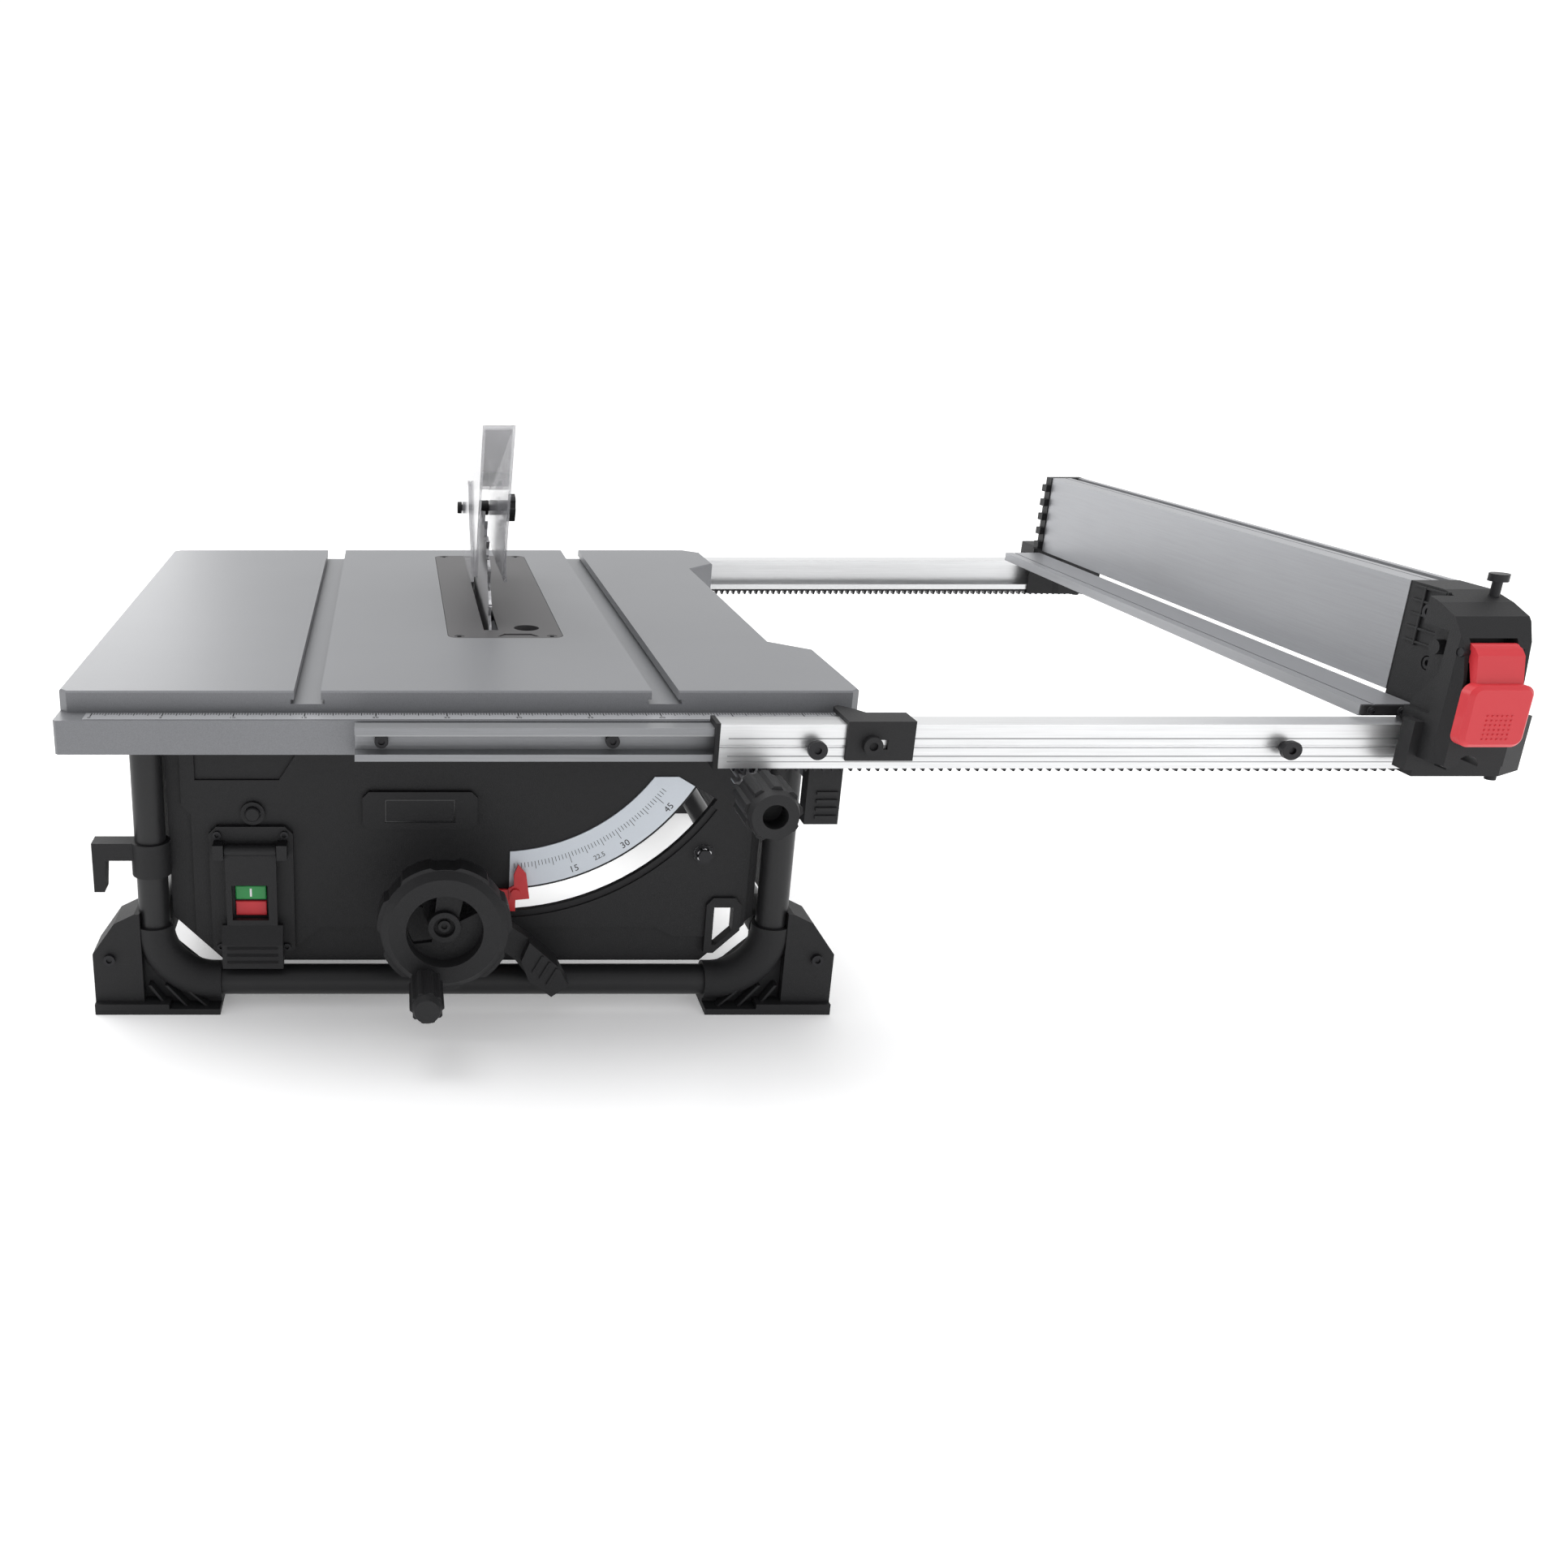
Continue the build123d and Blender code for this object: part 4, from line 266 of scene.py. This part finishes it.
# ---- the maker's bench ------------------------------------------------------------------------
class Bench:
    """Modelling moves by hand: primitives, edit-mode work and applied modifiers."""

    @staticmethod
    def clear() -> None:
        """Deselect everything."""
        if bpy.context.object and bpy.context.object.mode != "OBJECT":
            bpy.ops.object.mode_set(mode="OBJECT")
        bpy.ops.object.select_all(action="DESELECT")

    @staticmethod
    def select(piece: bpy.types.Object) -> None:
        """Make one piece the selected and active one."""
        Bench.clear()
        piece.select_set(True)
        bpy.context.view_layer.objects.active = piece

    @staticmethod
    def settle(piece: bpy.types.Object) -> bpy.types.Object:
        """Put the piece's place into its mesh."""
        Bench.select(piece)
        bpy.ops.object.transform_apply(location=True, rotation=True, scale=True)
        return piece

    @staticmethod
    def slab(low: Vector, high: Vector, round_edge: float = 0.0, segments: int = 2) -> bpy.types.Object:
        """A box between two corners, with rounded edges if asked.

        Args:
            low: lowest corner.
            high: highest corner.
            round_edge: radius of the edges in metres.
            segments: faces across each rounded edge.

        Returns:
            The box, settled.
        """
        Bench.clear()
        bpy.ops.mesh.primitive_cube_add(size=1.0, location=(low + high) / 2, scale=high - low)
        piece = Bench.settle(bpy.context.object)
        if round_edge > 0:
            Bench.soften(piece, round_edge, segments)
        return piece

    @staticmethod
    def soften(piece: bpy.types.Object, width: float, segments: int = 2) -> None:
        """Round a piece's sharp edges with an applied bevel."""
        Bench.select(piece)
        bevel = piece.modifiers.new("soften", "BEVEL")
        bevel.width, bevel.segments, bevel.limit_method = width, segments, "ANGLE"
        bpy.ops.object.modifier_apply(modifier="soften")

    @staticmethod
    def edit_front(piece: bpy.types.Object) -> None:
        """Enter edit mode with only the front faces selected.

        Args:
            piece: the piece to work on.
        """
        Bench.select(piece)
        bpy.ops.object.mode_set(mode="EDIT")
        bpy.ops.mesh.select_mode(type="FACE")
        bpy.ops.mesh.select_all(action="DESELECT")
        bpy.ops.object.mode_set(mode="OBJECT")
        for flat in piece.data.polygons:
            flat.select = flat.normal.y < FACES_FRONT
        bpy.ops.object.mode_set(mode="EDIT")

    @staticmethod
    def turned(centre: Vector, axis: str, radius: float, depth: float, sides: int = 48,
               tip: Optional[float] = None) -> bpy.types.Object:
        """A turned pin or cone.

        Args:
            centre: middle of its length.
            axis: X, Y or Z.
            radius: at its low end.
            depth: length along the axis.
            sides: faces round it.
            tip: radius at the high end, if not the same.

        Returns:
            The pin, settled.
        """
        Bench.clear()
        turn = {"X": (0.0, math.pi / 2, 0.0), "Y": (-math.pi / 2, 0.0, 0.0), "Z": (0.0, 0.0, 0.0)}[axis]
        bpy.ops.mesh.primitive_cone_add(vertices=sides, radius1=radius, radius2=radius if tip is None else tip,
                                        depth=depth, location=centre, rotation=turn)
        return Bench.settle(bpy.context.object)

    @staticmethod
    def row(piece: bpy.types.Object, count: int, step: Vector) -> bpy.types.Object:
        """Repeat a piece in a straight row with an applied array."""
        Bench.select(piece)
        array = piece.modifiers.new("row", "ARRAY")
        array.use_relative_offset, array.use_constant_offset = False, True
        array.constant_offset_displace, array.count = step, count
        bpy.ops.object.modifier_apply(modifier="row")
        return piece

    @staticmethod
    def copy(piece: bpy.types.Object, move: Matrix) -> bpy.types.Object:
        """Copy a piece with its own mesh and move the copy's mesh."""
        twin = piece.copy()
        twin.data = piece.data.copy()
        bpy.context.scene.collection.objects.link(twin)
        twin.data.transform(move)
        return twin

    @staticmethod
    def weld(pieces: Sequence[bpy.types.Object], name: str) -> bpy.types.Object:
        """Join pieces into one named piece."""
        Bench.clear()
        for piece in pieces:
            piece.select_set(True)
        bpy.context.view_layer.objects.active = pieces[0]
        if len(pieces) > 1:
            bpy.ops.object.join()
        joined = bpy.context.object
        joined.name = name
        return joined

    @staticmethod
    def figure(words: str, height: float, place: Vector, turn: Tuple[float, float, float],
               thick: float = 0.00006) -> bpy.types.Object:
        """A printed figure as a thin mesh.

        Args:
            words: the figures.
            height: letter size in metres.
            place: centre of the text.
            turn: Euler turn that faces it.
            thick: raised height.

        Returns:
            The mesh, settled.
        """
        Bench.clear()
        bpy.ops.object.text_add(location=(0, 0, 0))
        text = bpy.context.object
        text.data.body, text.data.size = words, height
        text.data.align_x, text.data.align_y = "CENTER", "CENTER"
        text.data.extrude, text.data.resolution_u = thick, 3
        bpy.ops.object.convert(target="MESH")
        piece = bpy.context.object
        piece.location, piece.rotation_euler = place, turn
        return Bench.settle(piece)

    @staticmethod
    def finish(piece: bpy.types.Object, name: str, body: str, paint: Finish, slot: str) -> bpy.types.Object:
        """Name, paint and hang a piece on its body.

        Args:
            piece: the settled piece.
            name: its name.
            body: the CAD body that it rides on.
            paint: its finish.
            slot: the record's material slot; not used.

        Returns:
            The piece.
        """
        piece.name = piece.data.name = name
        piece.data.materials.clear()
        piece.data.materials.append(Paint.get(paint))
        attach(piece, body)
        log.info("%s rides on %s, %d faces", name, body, len(piece.data.polygons))
        return piece


# ---- CAD pieces -----------------------------------------------------------------------------------
@dataclass
class Dress:
    """Gives every CAD node its finish."""

    slots: Dict[str, str] = field(default_factory=dict)
    # The fixed rails get the darker painted-shade copy of the rail finish; the cover screws get blackened steel.
    special: Dict[str, Finish] = field(default_factory=lambda: {
        "cover_screws": FINISHES["dark_steel"], "front_fixed_rail": FIXED_RAIL_PAINTED_SHADE, "rear_fixed_rail": FIXED_RAIL_PAINTED_SHADE})

    def run(self) -> None:
        """Read the record's slots and paint the nodes."""
        for part in frame["record"]["subparts"]:
            self.slots[part["node"]] = part["material_slot"]
        for name, node in frame["nodes"].items():
            finish = self.special.get(name, FINISHES[self.slots[name]])
            node.data.materials.clear()
            node.data.materials.append(Paint.get(finish))
        log.info("dressed %d CAD nodes", len(frame["nodes"]))


# ---- rule on the table's front ledge ----------------------------------------------------------------
@dataclass
class Rule:
    """Printed rule that lies on the ledge in front of the table."""

    left: float = -298.0
    right: float = 244.0
    front: float = -18.6
    back: float = -3.4
    top: float = -15.1

    def build(self) -> None:
        """Make the strip, its ticks and its figures."""
        strip = Bench.slab(at(self.left, self.front, -15.7), at(self.right, self.back, self.top), 0.0001, 1)
        Bench.finish(strip, "rule_strip", "base", RULE_PAPER, "dial_plate")
        ticks: List[bpy.types.Object] = []
        span = int(self.right - self.left - 6)
        for step, length, wide in ((2, 4.4, 0.55), (10, 6.6, 0.60), (50, 8.6, 0.80)):
            first = Bench.slab(at(self.left + 4.0, self.back - length, self.top - 0.02),
                               at(self.left + 4.0 + wide, self.back - 0.6, self.top + 0.05))
            ticks.append(Bench.row(first, span // step + 1, Vector((step * MM, 0, 0))))
        for k in range(span // 50 + 1):
            place = at(self.left + 4.2 + 50 * k, self.front + 3.6, self.top + 0.03)
            ticks.append(Bench.figure(str(k * 5), 0.0046, place, (0, 0, 0)))
        Bench.finish(Bench.weld(ticks, "rule_print"), "rule_print", "base", PRINT_BLACK, "dial_plate")


# ---- bevel dial ---------------------------------------------------------------------------------------
@dataclass
class BevelDial:
    """Ticks and figures printed on the bevel scale."""

    zero: float = 5.6
    plate: float = 49.8
    inner: float = 152.0

    def spoke(self, angle: float, radius: float, y: float) -> Vector:
        """Point on the dial at an angle from straight down, in the frame."""
        turn = math.radians(angle)
        return at(radius * math.sin(turn), y, -radius * math.cos(turn))

    def build(self) -> None:
        """Make one tick, copy it round the bevel axis and add the figures."""
        prints: List[bpy.types.Object] = []
        y = self.plate
        pivot = at(0, y, 0)
        for degree in range(-1, 49):
            length = 9.0 if degree % 15 == 0 else 6.5 if degree % 5 == 0 else 4.2
            tick = Bench.slab(at(-0.22, y - 0.05, -self.inner - length), at(0.22, y + 0.05, -self.inner))
            turn = Matrix.Rotation(-math.radians(self.zero + degree), 4, "Y")
            tick.data.transform(Matrix.Translation(pivot) @ turn @ Matrix.Translation(-pivot))
            prints.append(tick)
        for degree in (0, 15, 30, 45):
            angle = self.zero + degree
            prints.append(Bench.figure(str(degree), 0.0075, self.spoke(angle, self.inner + 14.5, y - 0.02),
                                       (math.pi / 2, math.radians(-angle), 0)))
        prints.append(Bench.figure("22.5", 0.0055, self.spoke(self.zero + 22.5, self.inner + 12.8, y - 0.02),
                                   (math.pi / 2, math.radians(-self.zero - 22.5), 0)))
        Bench.finish(Bench.weld(prints, "dial_print"), "dial_print", "base", PRINT_BLACK, "dial_plate")


# ---- blade --------------------------------------------------------------------------------------------
@dataclass
class BladeTips:
    """Carbide tips brazed on the blade's teeth."""

    teeth: int = 24
    radius: float = 126.8
    arbor_y: float = 314.0
    arbor_z: float = -47.0
    half: float = 1.45

    def build(self) -> None:
        """Shape one tip, copy it round the arbor and set it on the blade."""
        r = self.arbor_y - self.radius
        tip = Bench.slab(at(-self.half, r + 0.1, self.arbor_z + 0.4), at(self.half, r + 5.6, self.arbor_z + 2.2),
                         0.00025, 1)
        pivot = at(0, self.arbor_y, self.arbor_z)
        tips = [tip]
        for k in range(1, self.teeth):
            turn = Matrix.Rotation(-2 * math.pi * k / self.teeth, 4, "X")
            tips.append(Bench.copy(tip, Matrix.Translation(pivot) @ turn @ Matrix.Translation(-pivot)))
        Bench.finish(Bench.weld(tips, "blade_tips"), "blade_tips", "blade", CARBIDE, "blade_steel")


# ---- front panel ----------------------------------------------------------------------------------------
@dataclass
class PanelTrim:
    """Badge blank, plated nut, switch mark and lever ribs on the front of the saw."""

    face: float = 51.0
    badge: Tuple[float, float, float, float] = (-87.6, -34.4, -116.6, -98.4)
    nut: Tuple[float, float] = (158.0, -144.0)
    mark: Tuple[float, float] = (-191.5, -173.7)

    def build(self) -> None:
        """Build the trim from the left of the panel to the right."""
        left, right, low, high = self.badge
        blank = Bench.slab(at(left, self.face - 3.6, low), at(right, self.face - 3.1, high))
        self.recess(blank, 0.0009, 0.0003)
        Bench.finish(blank, "badge_blank", "base", BADGE_BLACK, "black_plastic")
        x, z = self.mark
        bar = Bench.slab(at(x - 0.8, self.face - 6.62, z - 3.4), at(x + 0.8, self.face - 6.45, z + 3.4), 0.00005, 1)
        Bench.finish(bar, "start_mark", "start_button", PRINT_WHITE, "green_plastic")
        x, z = self.nut
        nut = Bench.turned(at(x, self.face - 2.0, z), "Y", 6.2 * MM, 4.0 * MM, 6)
        Bench.soften(nut, 0.0006)
        stud = Bench.turned(at(x, self.face - 4.2, z), "Y", 2.4 * MM, 2.0 * MM, 24)
        Bench.soften(stud, 0.0005)
        washer = Bench.turned(at(x, self.face - 0.2, z), "Y", 7.6 * MM, 0.6 * MM, 40)
        Bench.soften(washer, 0.0002, 1)
        Bench.finish(Bench.weld([nut, stud, washer], "panel_nut"), "panel_nut", "base", FINISHES["steel"], "steel")
        self.lever_ribs()

    def recess(self, piece: bpy.types.Object, border: float, depth: float) -> None:
        """Sink the middle of a slab's front face inside a border.

        Args:
            piece: the slab.
            border: width left standing.
            depth: how far the middle goes back.
        """
        Bench.edit_front(piece)
        bpy.ops.mesh.inset(thickness=border)
        bpy.ops.mesh.inset(thickness=0.00012, depth=-depth)
        bpy.ops.object.mode_set(mode="OBJECT")

    def lever_ribs(self) -> None:
        """Three finger ribs across the tip of the bevel lock lever."""
        rib = Bench.slab(at(28.0, 12.6, -228.0), at(30.2, 14.3, -212.0), 0.0007)
        pivot = at(29.1, 13.4, -220.0)
        turn = Matrix.Translation(pivot) @ Matrix.Rotation(math.radians(28.0), 4, "Y") @ Matrix.Translation(-pivot)
        rib.data.transform(turn)
        ribs = [rib] + [Bench.copy(rib, Matrix.Translation(Vector((5.6 * k, 0.0, -5.2 * k)) * MM)) for k in (1, 2)]
        Bench.finish(Bench.weld(ribs, "lever_ribs"), "lever_ribs", "bevel_lock_lever", FINISHES["black_plastic"],
                     "black_plastic")


# ---- rails ----------------------------------------------------------------------------------------------
@dataclass
class RailLines:
    """Dark strips along the faces of the front rails: painted shade in the grooves of the extrusions."""

    moving: Tuple[float, float] = (147.0, 603.0)
    fixed: Tuple[float, float] = (-107.0, 139.0)

    def build(self) -> None:
        """Lay one set of painted-shade strips on each rail."""
        for name, body, (left, right), front, heights in (
                ("moving_rail_groove_shade", "rails", self.moving, -42.0, ((-22.0, 0.5), (-34.6, 0.5), (-38.6, 0.35))),
                ("fixed_rail_groove_shade", "base", self.fixed, -37.0, ((-21.5, 0.5), (-36.5, 0.4)))):
            lines: List[bpy.types.Object] = []
            for z, half in heights:
                low, high = at(left, front - 0.06, z - half), at(right, front + 0.3, z + half)
                lines.append(Bench.slab(low, high, 0.00004, 1))
            Bench.finish(Bench.weld(lines, name), name, body, RAIL_GROOVE_PAINTED_SHADE, "rail_metal")


# ---- fence ------------------------------------------------------------------------------------------------
@dataclass
class FenceTrim:
    """Grip dots on the latch pad, end bracket of the ledge and ribs on the fence head."""

    pad_face: float = -98.0
    first: Tuple[float, float] = (615.2, -5.0)
    step: float = 3.1
    ledge_front: float = -33.6
    ledge_left: float = 578.0
    screw_shifts: Tuple[float, float] = (6.0, 27.0)
    screw_z: float = -4.0

    def build(self) -> None:
        """Shape one dot, repeat it over the pad, then add the bracket and the ribs."""
        x, z = self.first
        dot = Bench.turned(at(x, self.pad_face - 0.25, z), "Y", 0.45 * MM, 0.9 * MM, 12, 0.75 * MM)
        Bench.soften(dot, 0.00015, 1)
        dots = Bench.row(Bench.row(dot, 6, Vector((self.step * MM, 0, 0))), 6, Vector((0, 0, self.step * MM)))
        Bench.finish(dots, "latch_dots", "fence_latch_lever", FINISHES["red_plastic"], "red_plastic")
        self.ledge_end()
        self.head_ribs()

    def ledge_end(self) -> None:
        """Black end bracket of the flip-out ledge, with its two screws."""
        y, x = self.ledge_front, self.ledge_left
        arm = Bench.slab(at(x + 0.4, y - 2.6, -7.6), at(x + 34.0, y - 0.1, -0.3), 0.0010, 3)
        pieces = [arm]
        for shift in self.screw_shifts:
            boss = Bench.turned(at(x + shift, y - 3.2, self.screw_z), "Y", 2.9 * MM, 1.4 * MM, 32, 3.2 * MM)
            Bench.soften(boss, 0.0003)
            pieces.append(boss)
        Bench.finish(Bench.weld(pieces, "ledge_end_bracket"), "ledge_end_bracket", "fence_ledge",
                     FINISHES["black_plastic"], "black_plastic")
        heads: List[bpy.types.Object] = []
        for shift in self.screw_shifts:
            heads.append(self.socket_head(at(x + shift, y - 4.5, self.screw_z), 2.4 * MM))
        Bench.finish(Bench.weld(heads, "ledge_end_screws"), "ledge_end_screws", "fence_ledge",
                     FINISHES["dark_steel"], "dark_steel")

    def socket_head(self, centre: Vector, radius: float) -> bpy.types.Object:
        """One socket screw head that faces the front.

        Args:
            centre: middle of the head.
            radius: radius of the head.

        Returns:
            The head, its socket sunk by an inset.
        """
        head = Bench.turned(centre, "Y", radius, 1.6 * MM, 30)
        Bench.edit_front(head)
        bpy.ops.mesh.inset(thickness=radius * 0.45)
        bpy.ops.mesh.inset(thickness=radius * 0.05, depth=-0.0009)
        bpy.ops.object.mode_set(mode="OBJECT")
        return head

    def head_ribs(self) -> None:
        """Stiffening ribs, a post and a front edge on the flank of the head beside the beam."""
        rib = Bench.slab(at(617.1, -35.0, 38.5), at(618.9, -4.0, 40.1), 0.0004)
        ribs = [rib] + [Bench.copy(rib, Matrix.Translation(Vector((0, 0, 9.2 * k)) * MM)) for k in range(1, 5)]
        post = Bench.slab(at(616.9, -16.0, 37.0), at(618.9, -14.2, 77.0), 0.0004)
        edge = Bench.slab(at(616.7, -37.6, 36.0), at(618.9, -36.0, 77.8), 0.0005)
        Bench.finish(Bench.weld(ribs + [post, edge], "head_ribs"), "head_ribs", "fence", FINISHES["black_plastic"],
                     "black_plastic")


# ---- studio ------------------------------------------------------------------------------------------
@dataclass
class Studio:
    """Floor, lights, world and camera."""

    eye: Tuple[float, float, float] = (-0.0555, -1.2546, 0.5384)
    pitch: float = 70.84
    lens: float = 32.61
    shift: float = 0.25
    floor_size: float = 60.0
    floor_glow: float = 0.22

    def lamp(self, name: str, place: Tuple[float, float, float], aim: Tuple[float, float, float], size: float,
             watts: float) -> None:
        """Add one soft area light.

        Args:
            name: the light's name.
            place: where it hangs.
            aim: what it points at.
            size: edge length in metres.
            watts: power.
        """
        data = bpy.data.lights.new(name, "AREA")
        data.shape, data.size, data.energy = "SQUARE", size, watts
        lamp = bpy.data.objects.new(name, data)
        lamp.location = place
        lamp.rotation_euler = (Vector(aim) - Vector(place)).to_track_quat("-Z", "Y").to_euler()
        bpy.context.scene.collection.objects.link(lamp)

    def sky(self, strength: float, spread: float, tilt: Tuple[float, float]) -> None:
        """Hang the ceiling diffuser, a very soft light from nearly straight above.

        Args:
            strength: its irradiance.
            spread: angle that it fills, in degrees.
            tilt: lean about X and Y, in degrees.
        """
        data = bpy.data.lights.new("ceiling", "SUN")
        data.energy, data.angle = strength, math.radians(spread)
        lamp = bpy.data.objects.new("ceiling", data)
        lamp.rotation_euler = (math.radians(tilt[0]), math.radians(tilt[1]), 0.0)
        bpy.context.scene.collection.objects.link(lamp)

    def build(self) -> None:
        """Lay the floor, hang the lights and set the camera."""
        Bench.clear()
        bpy.ops.mesh.primitive_plane_add(size=self.floor_size, location=(0, 0, 0))
        floor = bpy.context.object
        floor.name = "studio_floor"
        floor.data.materials.append(Paint.get(FLOOR_PAINT))
        paint = floor.data.materials[0].node_tree.nodes["Principled BSDF"]
        paint.inputs["Emission Color"].default_value = (1.0, 1.0, 1.0, 1.0)
        paint.inputs["Emission Strength"].default_value = self.floor_glow
        world = bpy.data.worlds.new("studio")
        world.use_nodes = True
        tree = world.node_tree
        direction = Wire.make(tree, "ShaderNodeTexCoord", out="Generated")
        rear = Wire.make(tree, "ShaderNodeSeparateXYZ", out="Y", Vector=direction)
        glow = Wire.make(tree, "ShaderNodeMapRange", Value=rear, From_Min=-0.35, From_Max=0.15)
        backdrop = glow.mix((0.62, 0.62, 0.63), (1.08, 1.08, 1.08))
        tree.links.new(backdrop.socket, tree.nodes["Background"].inputs["Color"])
        bpy.context.scene.world = world
        self.sky(1.45, 46.0, (-12.0, -16.0))
        self.lamp("back_left", (-1.00, 1.95, 0.75), (-0.25, 0.1, 0.27), 1.0, 8.5)
        self.lamp("front_right", (1.5, -1.9, 0.7), (0.55, -0.25, 0.22), 0.9, 4.0)
        self.lamp("under_housing", (0.12, 0.02, 0.17), (0.13, 0.06, 0.0), 0.12, 0.26)
        camera = bpy.data.objects.new("camera", bpy.data.cameras.new("camera"))
        camera.location = self.eye
        camera.rotation_euler = (math.radians(self.pitch), 0.0, 0.0)
        camera.data.lens, camera.data.sensor_width = self.lens, 36.0
        camera.data.shift_x = self.shift
        bpy.context.scene.collection.objects.link(camera)
        bpy.context.scene.camera = camera
        bpy.context.scene.view_settings.view_transform = "Standard"


def main() -> None:
    """Build the looks of the saw."""
    Dress().run()
    Rule().build()
    BevelDial().build()
    BladeTips().build()
    PanelTrim().build()
    RailLines().build()
    FenceTrim().build()
    Studio().build()


if __name__ == "__main__":
    main()
